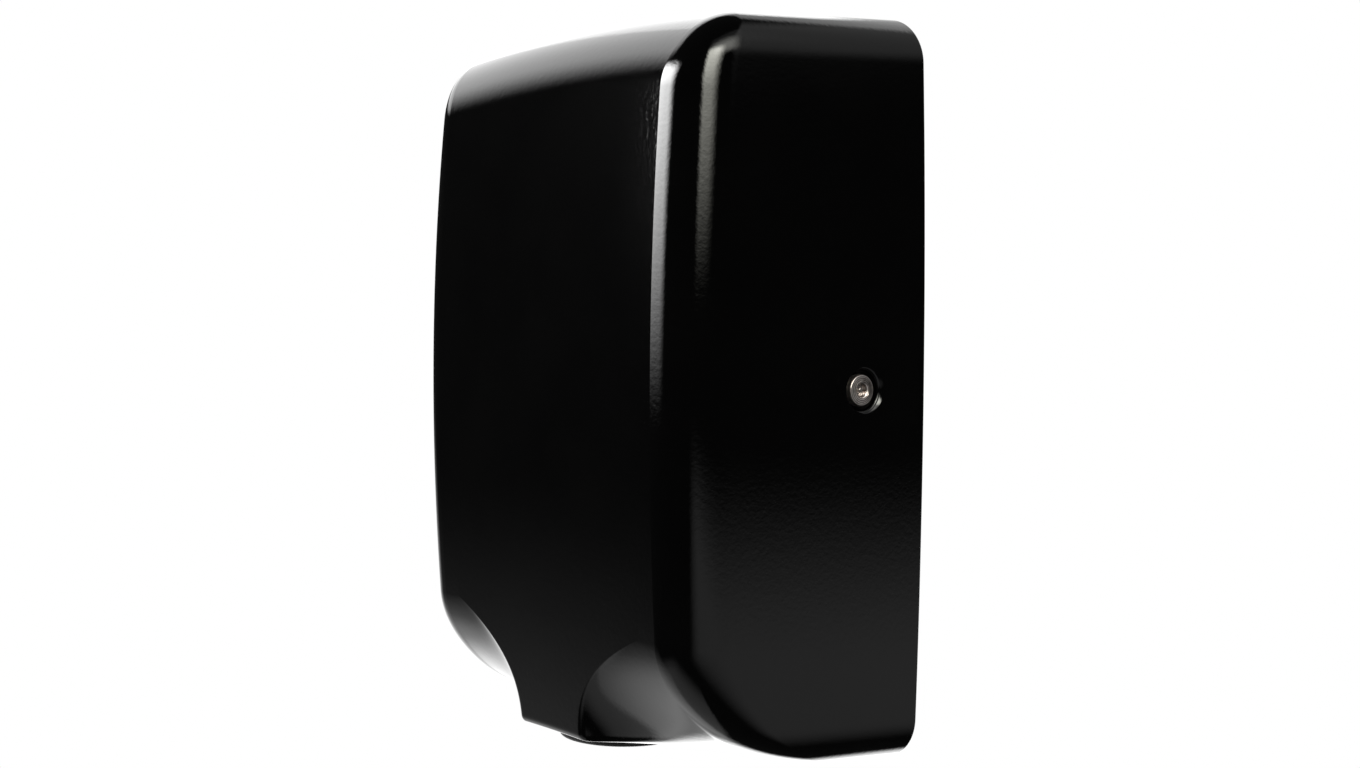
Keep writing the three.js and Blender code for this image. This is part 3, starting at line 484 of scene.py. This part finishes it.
def intake_slots():
    """Tools for the row of round-cornered slots in the underside, beside the wall."""
    slots = []
    for i in range(INTAKE_SLOTS):
        x = INTAKE_PITCH * (i - (INTAKE_SLOTS - 1) / 2)
        sides = (x - INTAKE_WIDTH / 2, x + INTAKE_WIDTH / 2)
        slot = block("slot", sides, INTAKE_DEPTHS, (-6, 8))
        round_edges(slot, INTAKE_CORNER, 6, upright_only=True)
        slots.append(slot)
    return slots


def cover():
    """The cover with its two screw bosses and dimples, outlet, sensor window and intake slots."""
    shell = cover_shell()
    bosses, dimples = zip(side_tools("right"), side_tools("left"))
    boolean(shell, joined("bosses", bosses), "UNION")
    hole = cylinder_profile(OUTLET_RADIUS + OUTLET_CLEARANCE, 20)
    outlet = turned("outlet", hole, "up", (0, OUTLET_DEPTH, -8), 128)
    window = block("window", (-WINDOW_HALF, WINDOW_HALF), WINDOW_DEPTHS, (-4, 12))
    boolean(shell, joined("cuts", [*dimples, outlet, window, *intake_slots()]), "DIFFERENCE")
    shade(shell, 33)
    even = shell.modifiers.new("even", "WEIGHTED_NORMAL")
    even.keep_sharp = True
    return shell


# ---------------------------------------------------------------- materials


class Finish:
    """A procedural material with its usual nodes at hand."""

    def __init__(self, name, metallic=0.0):
        self.material = bpy.data.materials.new(name)
        self.material.use_nodes = True
        self.nodes = self.material.node_tree.nodes
        self.links = self.material.node_tree.links
        self.shader = self.nodes["Principled BSDF"]
        self.shader.inputs["Metallic"].default_value = metallic
        self.place = self.nodes.new("ShaderNodeTexCoord").outputs["Object"]
        self.height = None

    def mapped(self, scale, offset=(0, 0, 0)):
        node = self.nodes.new("ShaderNodeMapping")
        node.inputs["Scale"].default_value = scale
        node.inputs["Location"].default_value = offset
        self.links.new(self.place, node.inputs["Vector"])
        return node.outputs["Vector"]

    def noise(self, scale, detail=3.0, roughness=0.55, vector=None):
        node = self.nodes.new("ShaderNodeTexNoise")
        node.inputs["Scale"].default_value = scale
        node.inputs["Detail"].default_value = detail
        node.inputs["Roughness"].default_value = roughness
        self.links.new(vector or self.place, node.inputs["Vector"])
        return node.outputs["Fac"]

    def cells(self, scale):
        node = self.nodes.new("ShaderNodeTexVoronoi")
        node.inputs["Scale"].default_value = scale
        self.links.new(self.place, node.inputs["Vector"])
        return node.outputs["Distance"]

    def bands(self, scale, axis, distortion=0.0):
        node = self.nodes.new("ShaderNodeTexWave")
        node.bands_direction = axis
        node.inputs["Scale"].default_value = scale
        node.inputs["Distortion"].default_value = distortion
        self.links.new(self.place, node.inputs["Vector"])
        return node.outputs["Fac"]

    def math(self, operation, first, second=None):
        """A sum on one or two values, each a number or another node's output."""
        node = self.nodes.new("ShaderNodeMath")
        node.operation = operation
        for socket, value in zip(node.inputs, (first, second)):
            if isinstance(value, (int, float)):
                socket.default_value = value
            elif value is not None:
                self.links.new(value, socket)
        return node.outputs["Value"]

    def color(self, fac, *stops):
        """Base colour from (position, colour) stops."""
        ramp = self.nodes.new("ShaderNodeValToRGB")
        while len(ramp.color_ramp.elements) < len(stops):
            ramp.color_ramp.elements.new(0.5)
        for element, (position, value) in zip(ramp.color_ramp.elements, stops):
            element.position = position
            element.color = (*value, 1.0)
        self.links.new(fac, ramp.inputs["Fac"])
        self.links.new(ramp.outputs["Color"], self.shader.inputs["Base Color"])
        return self

    def roughness(self, fac, low, high):
        """Roughness that runs from low to high with the pattern."""
        node = self.nodes.new("ShaderNodeMapRange")
        node.inputs["To Min"].default_value = low
        node.inputs["To Max"].default_value = high
        self.links.new(fac, node.inputs["Value"])
        self.links.new(node.outputs["Result"], self.shader.inputs["Roughness"])
        return self

    def bump(self, height, microns):
        """Adds relief of this height over whatever relief is there already."""
        node = self.nodes.new("ShaderNodeBump")
        node.inputs["Distance"].default_value = microns * MICRON
        node.inputs["Strength"].default_value = 1.0
        self.links.new(height, node.inputs["Height"])
        if self.height is not None:
            self.links.new(self.height, node.inputs["Normal"])
        self.height = node.outputs["Normal"]
        self.links.new(self.height, self.shader.inputs["Normal"])
        return self

    def set(self, **sockets):
        """Sets constants on the shader's own sockets."""
        for name, value in sockets.items():
            self.shader.inputs[name.replace("_", " ")].default_value = value
        return self


def tone(color, scale):
    """A lighter or darker tone of a colour."""
    return tuple(channel * scale for channel in color)


def powder_coat():
    """Gloss black powder coat with the soft dimples of its flow."""
    f = Finish("black_coat")
    flow = f.noise(600, 1.5, 0.45)
    peel = f.noise(1300, 1.5, 0.5)
    wear = f.noise(35, 3.0)
    f.color(wear, (0.3, (0.0003, 0.0003, 0.00033)), (0.7, (0.0006, 0.0006, 0.0006)))
    f.roughness(wear, 0.05, 0.065)
    f.bump(flow, 20).bump(peel, 9)
    return f.set(IOR=1.5).material


def moulded(name, color, grain=1800.0, relief=10, low=0.42, high=0.55):
    """Moulded plastic with a fine sparked grain."""
    f = Finish(name)
    patches = f.noise(60, 3.0)
    grains = f.noise(grain, 4.0, 0.6)
    f.color(patches, (0.3, tone(color, 0.85)), (0.7, tone(color, 1.1)))
    f.roughness(grains, low, high)
    f.bump(grains, relief)
    return f.material


def rolled_metal(name, color, low, high):
    """Sheet or drawn metal with a fine directional grain."""
    f = Finish(name, metallic=1.0)
    grains = f.noise(900, 4.0, 0.6, f.mapped((1, 1, 14)))
    patches = f.noise(45, 3.0)
    f.color(patches, (0.3, tone(color, 0.86)), (0.7, color))
    f.roughness(grains, low, high)
    f.bump(grains, 4)
    return f.material


def galvanised():
    """Zinc-plated sheet with faint spangle."""
    f = Finish("zinc_steel", metallic=1.0)
    spangle = f.cells(160)
    grains = f.noise(1500, 4.0, 0.6)
    f.color(spangle, (0.0, (0.42, 0.44, 0.46)), (0.9, (0.56, 0.58, 0.6)))
    f.roughness(f.noise(90, 4.0), 0.34, 0.5)
    f.bump(grains, 5)
    return f.material


RING_PITCH = 0.58


def turned_steel(name):
    """Stainless steel with the rings left by turning, centred on a cover screw, and painted shade in the
    ring grooves.
    """
    f = Finish(name, metallic=1.0)
    centre = (0.0, SCREW_DEPTH * MM, (ORIGIN_HEIGHT - SCREW_HEIGHT) * MM)
    local = f.mapped((0, 1, 1), centre)
    length = f.nodes.new("ShaderNodeVectorMath")
    length.operation = "LENGTH"
    f.links.new(local, length.inputs[0])
    rings = f.math("SINE", f.math("MULTIPLY", length.outputs["Value"], 2 * math.pi / (RING_PITCH * MM)))
    wear = f.noise(1400, 4.0, 0.6)
    # Painted shade: the colour darkens in each ring's groove and lightens on each crest, with random tone
    # mixed in.
    groove_shade_and_tone = f.math("ADD", f.math("MULTIPLY", rings, 0.4), f.noise(700, 3.0))
    f.color(groove_shade_and_tone, (0.2, (0.16, 0.13, 0.12)), (0.8, (0.84, 0.79, 0.76)))
    f.roughness(wear, 0.26, 0.4)
    f.bump(rings, 20).bump(wear, 5)
    return f.material


def laminated():
    """Stacked iron sheets, seen on edge."""
    f = Finish("laminations", metallic=0.9)
    sheets = f.bands(1000, "Z")
    f.color(sheets, (0.2, (0.09, 0.085, 0.08)), (0.7, (0.26, 0.25, 0.24)))
    f.roughness(f.noise(400), 0.4, 0.6)
    f.bump(sheets, 60)
    return f.material


def wound_copper():
    """Enamelled wire in close layers."""
    f = Finish("copper", metallic=1.0)
    strands = f.bands(900, "Z", 1.5)
    f.color(strands, (0.2, (0.28, 0.09, 0.04)), (0.8, (0.62, 0.26, 0.13)))
    f.roughness(f.noise(500), 0.25, 0.4)
    f.bump(strands, 120)
    return f.material


def resistance_wire():
    """Heater wire, tinted here and there by heat."""
    f = Finish("heater_wire", metallic=1.0)
    heat = f.noise(110, 4.0)
    f.color(heat, (0.35, (0.3, 0.27, 0.25)), (0.55, (0.42, 0.34, 0.27)), (0.75, (0.25, 0.24, 0.29)))
    f.roughness(f.noise(900), 0.3, 0.5)
    f.bump(f.noise(3000), 6)
    return f.material


def solder_mask():
    """Green circuit board with a faint pattern of tracks."""
    f = Finish("circuit_board")
    grid = f.nodes.new("ShaderNodeTexBrick")
    grid.offset = 0.35
    grid.inputs["Scale"].default_value = 140
    grid.inputs["Mortar Size"].default_value = 0.035
    grid.inputs["Brick Width"].default_value = 0.9
    f.links.new(f.place, grid.inputs["Vector"])
    f.color(grid.outputs["Fac"], (0.0, (0.008, 0.075, 0.028)), (1.0, (0.02, 0.15, 0.06)))
    f.roughness(f.noise(700), 0.22, 0.38)
    f.bump(grid.outputs["Fac"], 30).bump(f.noise(1500), 6)
    return f.material


def mica_sheet():
    """Flaky, pale brown mica."""
    f = Finish("mica")
    flakes = f.cells(420)
    f.color(flakes, (0.0, (0.36, 0.31, 0.22)), (0.8, (0.62, 0.56, 0.44)))
    f.roughness(flakes, 0.35, 0.7)
    f.bump(flakes, 40)
    return f.material


def open_foam():
    """Dark filter foam with open pores."""
    f = Finish("foam")
    pores = f.cells(1100)
    f.color(pores, (0.1, (0.006, 0.006, 0.007)), (0.6, (0.06, 0.06, 0.066)))
    f.roughness(pores, 0.85, 0.98)
    f.bump(pores, 600)
    return f.material


def infra_red_plastic():
    """Dark red plastic that looks almost black."""
    f = Finish("dark_lens")
    haze = f.noise(220, 3.0)
    f.color(haze, (0.3, (0.016, 0.005, 0.008)), (0.7, (0.028, 0.009, 0.014)))
    f.roughness(haze, 0.06, 0.12)
    f.bump(f.noise(500, 2.0), 2)
    return f.set(Coat_Weight=0.5).material


def clear_resin():
    """Clear, slightly cloudy resin."""
    f = Finish("clear_glass")
    haze = f.noise(300, 3.0)
    f.color(haze, (0.3, (0.75, 0.82, 0.85)), (0.7, (0.9, 0.95, 0.96)))
    f.roughness(haze, 0.04, 0.12)
    f.bump(haze, 2)
    return f.set(Transmission_Weight=0.85, IOR=1.5).material


def sleeving(name, color, second, scale):
    """Insulation with a woven or striped jacket."""
    f = Finish(name)
    weave = f.bands(scale, "DIAGONAL", 0.6)
    f.color(weave, (0.35, color), (0.65, second))
    f.roughness(f.noise(900), 0.4, 0.6)
    f.bump(weave, 50)
    return f.material


def pressed_carbon():
    """Matt, speckled carbon."""
    f = Finish("carbon")
    specks = f.noise(2200, 5.0, 0.7)
    f.color(specks, (0.4, (0.012, 0.012, 0.013)), (0.7, (0.05, 0.05, 0.052)))
    f.roughness(specks, 0.5, 0.75)
    f.bump(specks, 30)
    return f.material


FINISHES = {
    "black_coat": powder_coat(),
    "stainless": rolled_metal("stainless", (0.62, 0.61, 0.59), 0.18, 0.34),
    "zinc_steel": galvanised(),
    "black_plastic": moulded("black_plastic", (0.012, 0.012, 0.012)),
    "grey_plastic": moulded("grey_plastic", (0.14, 0.15, 0.16)),
    "white_plastic": moulded("white_plastic", (0.72, 0.72, 0.68), 1400.0, 6, 0.3, 0.45),
    "rubber": moulded("rubber", (0.018, 0.018, 0.018), 900.0, 30, 0.65, 0.85),
    "brass": rolled_metal("brass", (0.66, 0.48, 0.2), 0.25, 0.4),
    "copper": wound_copper(),
    "laminations": laminated(),
    "aluminium": rolled_metal("aluminium", (0.68, 0.69, 0.7), 0.3, 0.5),
    "carbon": pressed_carbon(),
    "mica": mica_sheet(),
    "heater_wire": resistance_wire(),
    "circuit_board": solder_mask(),
    "foam": open_foam(),
    "dark_lens": infra_red_plastic(),
    "clear_glass": clear_resin(),
    "lead_jacket": sleeving("lead_jacket", (0.018, 0.018, 0.019), (0.032, 0.032, 0.034), 300),
    "earth_jacket": sleeving("earth_jacket", (0.03, 0.28, 0.05), (0.72, 0.55, 0.04), 110),
    "heater_jacket": sleeving("heater_jacket", (0.5, 0.48, 0.42), (0.72, 0.7, 0.63), 500),
}

# ---------------------------------------------------------------- CAD nodes that stay as they are


CRISP_ANGLE = math.radians(36)
BEVEL_ANGLE = math.radians(40)
CAD_BEVEL = 0.25


def softening_group():
    """Node group that shades a mesh smoothly and keeps every edge over an angle crisp."""
    group = bpy.data.node_groups.new("soften", "GeometryNodeTree")
    group.interface.new_socket("Geometry", in_out="INPUT", socket_type="NodeSocketGeometry")
    group.interface.new_socket("Geometry", in_out="OUTPUT", socket_type="NodeSocketGeometry")
    start = group.nodes.new("NodeGroupInput")
    end = group.nodes.new("NodeGroupOutput")
    smooth = group.nodes.new("GeometryNodeSetShadeSmooth")
    crisp = group.nodes.new("GeometryNodeSetShadeSmooth")
    crisp.domain = "EDGE"
    crisp.inputs["Shade Smooth"].default_value = False
    angle = group.nodes.new("GeometryNodeInputMeshEdgeAngle")
    over = group.nodes.new("FunctionNodeCompare")
    over.operation = "GREATER_THAN"
    over.inputs[1].default_value = CRISP_ANGLE
    group.links.new(start.outputs[0], smooth.inputs["Geometry"])
    group.links.new(smooth.outputs["Geometry"], crisp.inputs["Geometry"])
    group.links.new(angle.outputs["Unsigned Angle"], over.inputs[0])
    group.links.new(over.outputs["Result"], crisp.inputs["Selection"])
    group.links.new(crisp.outputs["Geometry"], end.inputs[0])
    return group


SOFTEN = softening_group()
# Round and too thin for a bevel.
THIN_NODES = {"heater_coil", "mains_lead", "earth_lead", "motor_lead", "heater_lead", "sensor_lead"}


def soften(node, bevelled):
    """Joins a CAD node's split points and rounds its edges with modifiers. Its own mesh is left alone."""
    node.modifiers.new("join", "WELD").merge_threshold = 1e-6
    if bevelled:
        flat = node.modifiers.new("flat", "DECIMATE")
        flat.decimate_type = "DISSOLVE"
        flat.angle_limit = math.radians(0.5)
        edge = node.modifiers.new("edge", "BEVEL")
        edge.width = CAD_BEVEL * MM
        edge.segments = 2
        edge.limit_method = "ANGLE"
        edge.angle_limit = BEVEL_ANGLE
        edge.use_clamp_overlap = True
    node.modifiers.new("soft", "NODES").node_group = SOFTEN
    flatten = node.modifiers.new("flatten", "WEIGHTED_NORMAL")
    flatten.keep_sharp = True


slots = {p["node"]: p["material_slot"] for p in frame["record"]["subparts"]}
for name, node in frame["nodes"].items():
    node.data.materials.clear()
    node.data.materials.append(FINISHES[slots[name]])
    if "custom_normal" in node.data.attributes:
        node.data.attributes.remove(node.data.attributes["custom_normal"])
    soften(node, name not in THIN_NODES)

# ---------------------------------------------------------------- pieces seen from outside

dress(cover(), "cover", FINISHES["black_coat"], "black_coat", "cover")


HEAD_RADIUS = 5.25
HEAD_LENGTH = 3.3
HEAD_ROUNDING = 0.6
HEAD_CROWN = 0.34
HEAD_RINGS = 7
RING_STEP = RING_PITCH / 2
RING_DEPTH = 0.05
SOCKET_RIM = 2.85
SOCKET_RADIUS = 2.31
SOCKET_CONE = 0.72
SOCKET_FLOOR = 1.2
PIN_RADIUS = 0.8
THREAD_TURNS = 10
THREAD_ROOT = 2.5
THREAD_CREST = 2.98


def screw_profile():
    """Low domed head with turned rings, a coned socket mouth and a shank with a thread."""
    start, top = SHANK_LENGTH, SHANK_LENGTH + HEAD_LENGTH
    thread = []
    for i in range(THREAD_TURNS):
        base = 0.6 + i
        thread += [(THREAD_ROOT, base), (THREAD_CREST, base + 0.42)]
        thread += [(THREAD_CREST, base + 0.56), (THREAD_ROOT, base + 0.98)]
    shank = [(0.0, 0.0), (2.2, 0.0)] + thread + [(3.0, start - 0.9), (3.0, start)]
    side = [(HEAD_RADIUS - 0.25, start), (HEAD_RADIUS, start + 0.25)]
    rim = arc((HEAD_RADIUS - HEAD_ROUNDING, top - 0.9), HEAD_ROUNDING, 0, 80, 10)
    rings = []
    first = HEAD_RADIUS - HEAD_ROUNDING - 0.02
    for i in range(HEAD_RINGS):
        radius = first - i * RING_STEP
        rise = HEAD_CROWN * (first - radius) / (first - SOCKET_RIM)
        groove = RING_DEPTH if i % 2 else 0.0
        rings.append((radius, top - HEAD_CROWN + rise - groove))
    mouth = [(SOCKET_RIM + 0.1, top), (SOCKET_RIM, top - 0.03)]
    cone = [(2.1, top - SOCKET_CONE), (0.0, top - SOCKET_CONE)]
    return shank + side + rim + rings + mouth + cone


def cover_screw(way):
    """Security screw: a six-sided socket with a pin standing in it."""
    sign = 1 if way == "right" else -1
    start = (sign * (SEAT_X - SHANK_LENGTH + 0.15), SCREW_DEPTH, SCREW_HEIGHT)
    body = turned("cover_screw_fine_" + way, screw_profile(), way, start, 96)
    floor = (start[0] + sign * (SHANK_LENGTH + SOCKET_FLOOR), SCREW_DEPTH, SCREW_HEIGHT)
    socket = turned("socket", cylinder_profile(SOCKET_RADIUS, 3), way, floor, 6, math.radians(12))
    boolean(body, socket, "DIFFERENCE")
    pin_profile = [(0, -0.3), (PIN_RADIUS, -0.3), (PIN_RADIUS, 1.15), (PIN_RADIUS - 0.15, 1.35), (0, 1.35)]
    pin = turned("pin", pin_profile, way, floor, 32)
    boolean(body, pin, "UNION")
    shade(body, 30)
    dress(body, "screw_" + way, turned_steel("turned_steel_" + way), "stainless", "cover_screw_" + way)


for way in ("right", "left"):
    cover_screw(way)


def outlet_collar():
    """Round outlet ring with rolled lips, held by a flange inside the cover."""
    bottom, flange_low, flange_high = -1.0, 7.2, 9.2
    inner_lip, outer_lip = 0.7, 1.3
    flange = OUTLET_RADIUS + 2.0
    profile = [(OUTLET_BORE, flange_high), (OUTLET_BORE, bottom + inner_lip)]
    profile += arc((OUTLET_BORE + inner_lip, bottom + inner_lip), inner_lip, 180, 270, 6)[1:]
    profile += arc((OUTLET_RADIUS - outer_lip, bottom + outer_lip), outer_lip, -90, 0, 8)
    profile += [(OUTLET_RADIUS, flange_low), (flange, flange_low), (flange, flange_high)]
    ring = turned("outlet_collar_fine", profile, "up", (0, OUTLET_DEPTH, 0), 160)
    shade(ring, 35)
    dress(ring, "cover", FINISHES["black_plastic"], "black_plastic", "outlet_collar")


outlet_collar()

# ---------------------------------------------------------------- pieces under the cover


def blower_casing():
    """Plain tube with eased rims and a foot turned in round its lower opening."""
    wall, ease, foot = 2.0, 0.4, 36.5
    inside, outside = CASING_RADIUS - wall, CASING_RADIUS
    low, high = CASING_LOW, CASING_HIGH
    profile = [(foot, low), (outside - ease, low), (outside, low + ease), (outside, high - ease)]
    profile += [(outside - ease, high), (inside + 0.3, high), (inside, high - 0.3)]
    profile += [(inside, low + wall), (foot, low + wall)]
    tube = turned("blower_casing_fine", profile, "up", (0, AXIS_DEPTH, 0), 128)
    shade(tube, 35)
    dress(tube, "base", FINISHES["black_plastic"], "black_plastic", "blower_casing")


def inlet_cover():
    """Round plate on the casing, with a bell mouth that leads the air down into the fan."""
    low, under, over = CASING_HIGH - 8.0, CASING_HIGH + 0.3, CASING_HIGH + 2.5
    ease, rim = 0.4, CASING_RADIUS
    profile = [(15.0, low)] + arc((16.0, low + 0.6), 0.9, 215, 350, 5)
    profile += [(17.4, low + 2.0), (18.3, under - 1.8), (20.5, under)]
    profile += [(rim - ease, under), (rim, under + ease), (rim, over - ease), (rim - ease, over)]
    profile += [(21.0, over), (18.6, over - 0.6), (16.6, over - 2.3), (15.3, over - 5.5)]
    bell = turned("fan_inlet_cover_fine", profile, "up", (0, AXIS_DEPTH, 0), 128)
    shade(bell, 40)
    dress(bell, "base", FINISHES["black_plastic"], "black_plastic", "fan_inlet_cover")


def sleeve():
    """Rubber band between the casing and its strap."""
    low, high = STRAP_HEIGHT - 9, STRAP_HEIGHT + 9
    inside, outside, ease = CASING_RADIUS + 0.3, CASING_RADIUS + 1.8, 0.4
    profile = [(inside, low), (outside - ease, low), (outside, low + 0.5)]
    profile += [(outside, high - 0.5), (outside - ease, high), (inside, high)]
    ring = turned("rubber_sleeve_fine", profile, "up", (0, AXIS_DEPTH, 0), 128)
    shade(ring, 40)
    dress(ring, "base", FINISHES["rubber"], "rubber", "rubber_sleeve")


DUCT_LOW = 9.8
DUCT_HIGH = CASING_LOW - 0.3
DUCT_LOW_RADIUS = 24.0
DUCT_WALL = 2.0


def duct():
    """Round duct that narrows and leans forward from the casing to the outlet, with a sensor shelf."""
    rings, around = 24, 96
    points, faces = [], []
    for inset in (0.0, DUCT_WALL):
        for i in range(rings + 1):
            part = i / rings
            eased = part * part * (3 - 2 * part)
            radius = DUCT_LOW_RADIUS + (CASING_RADIUS - DUCT_LOW_RADIUS) * eased - inset
            depth = OUTLET_DEPTH + (AXIS_DEPTH - OUTLET_DEPTH) * eased
            height = DUCT_LOW + (DUCT_HIGH - DUCT_LOW) * part
            for k in range(around):
                angle = 2 * math.pi * k / around
                points.append((radius * math.cos(angle), depth + radius * math.sin(angle), height))
    inner = (rings + 1) * around
    for k in range(around):
        n = (k + 1) % around
        for i in range(rings):
            a, b = i * around, (i + 1) * around
            faces.append((a + k, a + n, b + n, b + k))
            faces.append((inner + b + k, inner + b + n, inner + a + n, inner + a + k))
        top = rings * around
        faces.append((k, inner + k, inner + n, n))
        faces.append((top + k, top + n, inner + top + n, inner + top + k))
    body = new_object("air_duct_fine", points, faces)
    face_outwards(body)
    shelf = block("shelf", (-11, 11), (75.5, 86.5), (20.3, 22.3), 0.3)
    body = joined("air_duct_fine", [body, shelf])
    shade(body, 40)
    dress(body, "base", FINISHES["grey_plastic"], "grey_plastic", "air_duct")


blower_casing()
inlet_cover()
sleeve()
duct()

# ---------------------------------------------------------------- floor, light and camera

FLOOR_DROP = 1.25
FLOOR_REACH = 2.7
FLOOR_GLOW = 0.55


def floor():
    """Large plain floor, far enough down to stay out of the main picture and out of reflections."""
    mesh = bpy.data.meshes.new("floor")
    edge = FLOOR_REACH
    corners = [(-edge, -edge), (edge, -edge), (edge, edge), (-edge, edge)]
    mesh.from_pydata([(x, y, -FLOOR_DROP) for x, y in corners], [], [(0, 1, 2, 3)])
    obj = bpy.data.objects.new("floor", mesh)
    bpy.context.scene.collection.objects.link(obj)
    f = Finish("floor")
    f.color(f.noise(6, 3.0), (0.3, (0.72, 0.72, 0.71)), (0.7, (0.78, 0.78, 0.77)))
    f.roughness(f.noise(40), 0.7, 0.85)
    f.set(Emission_Color=(1, 1, 0.99, 1), Emission_Strength=FLOOR_GLOW)
    mesh.materials.append(f.material)
    obj.visible_glossy = False


floor()


def direction(azimuth, elevation):
    """Unit vector towards an azimuth (0 is straight in front, 90 is +X) and an elevation, in degrees."""
    a, e = math.radians(azimuth), math.radians(elevation)
    return Vector((math.sin(a) * math.cos(e), -math.cos(a) * math.cos(e), math.sin(e)))


LIGHT_CENTRE = at(10, 60, 125)
LIGHT_REACH = 1.5


def fading(tree, coordinate, size, low_fade, high_fade):
    """Brightness across a light, which falls to nothing over a fade at each of its two edges."""
    factors = []
    for fade, flipped in ((low_fade, False), (high_fade, True)):
        ramp = tree.nodes.new("ShaderNodeMapRange")
        ramp.interpolation_type = "SMOOTHSTEP"
        width = max(fade / size, 0.001)
        ramp.inputs["From Min"].default_value = 1.0 if flipped else 0.0
        ramp.inputs["From Max"].default_value = 1.0 - width if flipped else width
        tree.links.new(coordinate, ramp.inputs["Value"])
        factors.append(ramp.outputs["Result"])
    product = tree.nodes.new("ShaderNodeMath")
    product.operation = "MULTIPLY"
    tree.links.new(factors[0], product.inputs[0])
    tree.links.new(factors[1], product.inputs[1])
    return product.outputs["Value"]


def softbox(name, azimuth, elevation, radiance, fades, color=(1, 1, 1)):
    """Rectangular light that fills a range of azimuths and elevations, in degrees, and faces the dryer.

    fades are the widths over which it dims at its low and high azimuth and low and high elevation.
    """
    spans = (azimuth[1] - azimuth[0], elevation[1] - elevation[0])
    wide, high = (2 * LIGHT_REACH * math.tan(math.radians(span / 2)) for span in spans)
    data = bpy.data.lights.new(name, "AREA")
    data.shape = "RECTANGLE"
    data.size = wide
    data.size_y = high
    data.energy = radiance * math.pi * wide * high
    data.color = color
    data.use_nodes = True
    tree = data.node_tree
    place = tree.nodes.new("ShaderNodeNewGeometry").outputs["Parametric"]
    split = tree.nodes.new("ShaderNodeSeparateXYZ")
    tree.links.new(place, split.inputs[0])
    across = fading(tree, split.outputs["X"], spans[0], fades[0], fades[1])
    upwards = fading(tree, split.outputs["Y"], spans[1], fades[2], fades[3])
    product = tree.nodes.new("ShaderNodeMath")
    product.operation = "MULTIPLY"
    tree.links.new(across, product.inputs[0])
    tree.links.new(upwards, product.inputs[1])
    tree.links.new(product.outputs["Value"], tree.nodes["Emission"].inputs["Strength"])
    obj = bpy.data.objects.new(name, data)
    away = direction(sum(azimuth) / 2, sum(elevation) / 2)
    obj.location = LIGHT_CENTRE + away * LIGHT_REACH
    obj.rotation_mode = "QUATERNION"
    obj.rotation_quaternion = away.to_track_quat("Z", "Y")
    obj.visible_camera = False
    bpy.context.scene.collection.objects.link(obj)


# The two highlights down the front corner.
softbox("front_softbox", (-50, -5), (-5, 42), 21.0, (2, 18, 36, 10))
softbox("side_softbox", (49, 82), (3, 50), 12.0, (8, 16, 34, 14), (1.0, 1.0, 0.9))
softbox("side_softbox_wing", (60, 116), (24, 64), 3.0, (12, 30, 14, 20), (1.0, 1.0, 0.93))
# The bright rims of the top and of the far side, and the grey of the top.
softbox("left_panel", (-134, -62), (14, 60), 2.3, (4, 22, 6, 8))
softbox("back_left_panel", (-192, -112), (-14, 60), 0.9, (20, 4, 6, 8))
softbox("top_right_panel", (64, 122), (38, 72), 0.16, (14, 10, 16, 8))
softbox("back_right_panel", (100, 198), (12, 66), 0.34, (18, 14, 26, 8))
# Light that comes back up from a pale floor, on the nose, the flanks and the lower side.
softbox("left_floor_card", (-132, -42), (-66, -8), 0.55, (4, 44, 8, 30))
softbox("left_floor_glow", (-150, -78), (-44, -2), 1.2, (4, 34, 18, 16))
softbox("back_floor_glow", (-168, -122), (-60, -14), 3.0, (8, 8, 12, 10))
softbox("right_floor_card", (44, 156), (-56, -6), 0.36, (26, 4, 38, 12))
softbox("front_floor_card", (-82, 4), (-80, -30), 0.36, (12, 34, 4, 20))


def studio_world():
    """A white background for the camera, which gives the dryer itself next to no light."""
    world = bpy.data.worlds.new("studio")
    bpy.context.scene.world = world
    world.use_nodes = True
    nodes, links = world.node_tree.nodes, world.node_tree.links
    nodes.clear()
    path = nodes.new("ShaderNodeLightPath")
    blend = nodes.new("ShaderNodeMixShader")
    result = nodes.new("ShaderNodeOutputWorld")
    for shader_input, strength in ((1, 0.02), (2, 1.0)):
        background = nodes.new("ShaderNodeBackground")
        background.inputs["Color"].default_value = (1, 1, 1, 1)
        background.inputs["Strength"].default_value = strength
        links.new(background.outputs[0], blend.inputs[shader_input])
    links.new(path.outputs["Is Camera Ray"], blend.inputs["Fac"])
    links.new(blend.outputs[0], result.inputs["Surface"])


studio_world()
bpy.context.scene.view_settings.view_transform = "Standard"

CAMERA_YAW = math.radians(52.293)
CAMERA_PITCH = math.radians(2.503)
CAMERA_ROLL = math.radians(-0.387)
CAMERA_PLACE = (0.52666, -0.44064, 0.02645)
FOCAL_LENGTH = 48.93


def camera():
    """Camera in front of the right side, level but for a slight pitch and roll."""
    data = bpy.data.cameras.new("camera")
    data.lens = FOCAL_LENGTH
    data.sensor_width = 36.0
    data.clip_start = 0.01
    obj = bpy.data.objects.new("camera", data)
    back = Vector(
        (
            math.sin(CAMERA_YAW) * math.cos(CAMERA_PITCH),
            -math.cos(CAMERA_YAW) * math.cos(CAMERA_PITCH),
            math.sin(CAMERA_PITCH),
        )
    )
    right = Vector((math.cos(CAMERA_YAW), math.sin(CAMERA_YAW), 0.0))
    up = back.cross(right)
    level = right * math.cos(CAMERA_ROLL) - up * math.sin(CAMERA_ROLL)
    upright = right * math.sin(CAMERA_ROLL) + up * math.cos(CAMERA_ROLL)
    turn = Matrix((level, upright, back)).transposed().to_4x4()
    obj.matrix_world = Matrix.Translation(CAMERA_PLACE) @ turn
    bpy.context.scene.collection.objects.link(obj)
    bpy.context.scene.camera = obj


camera()

bpy.context.view_layer.update()
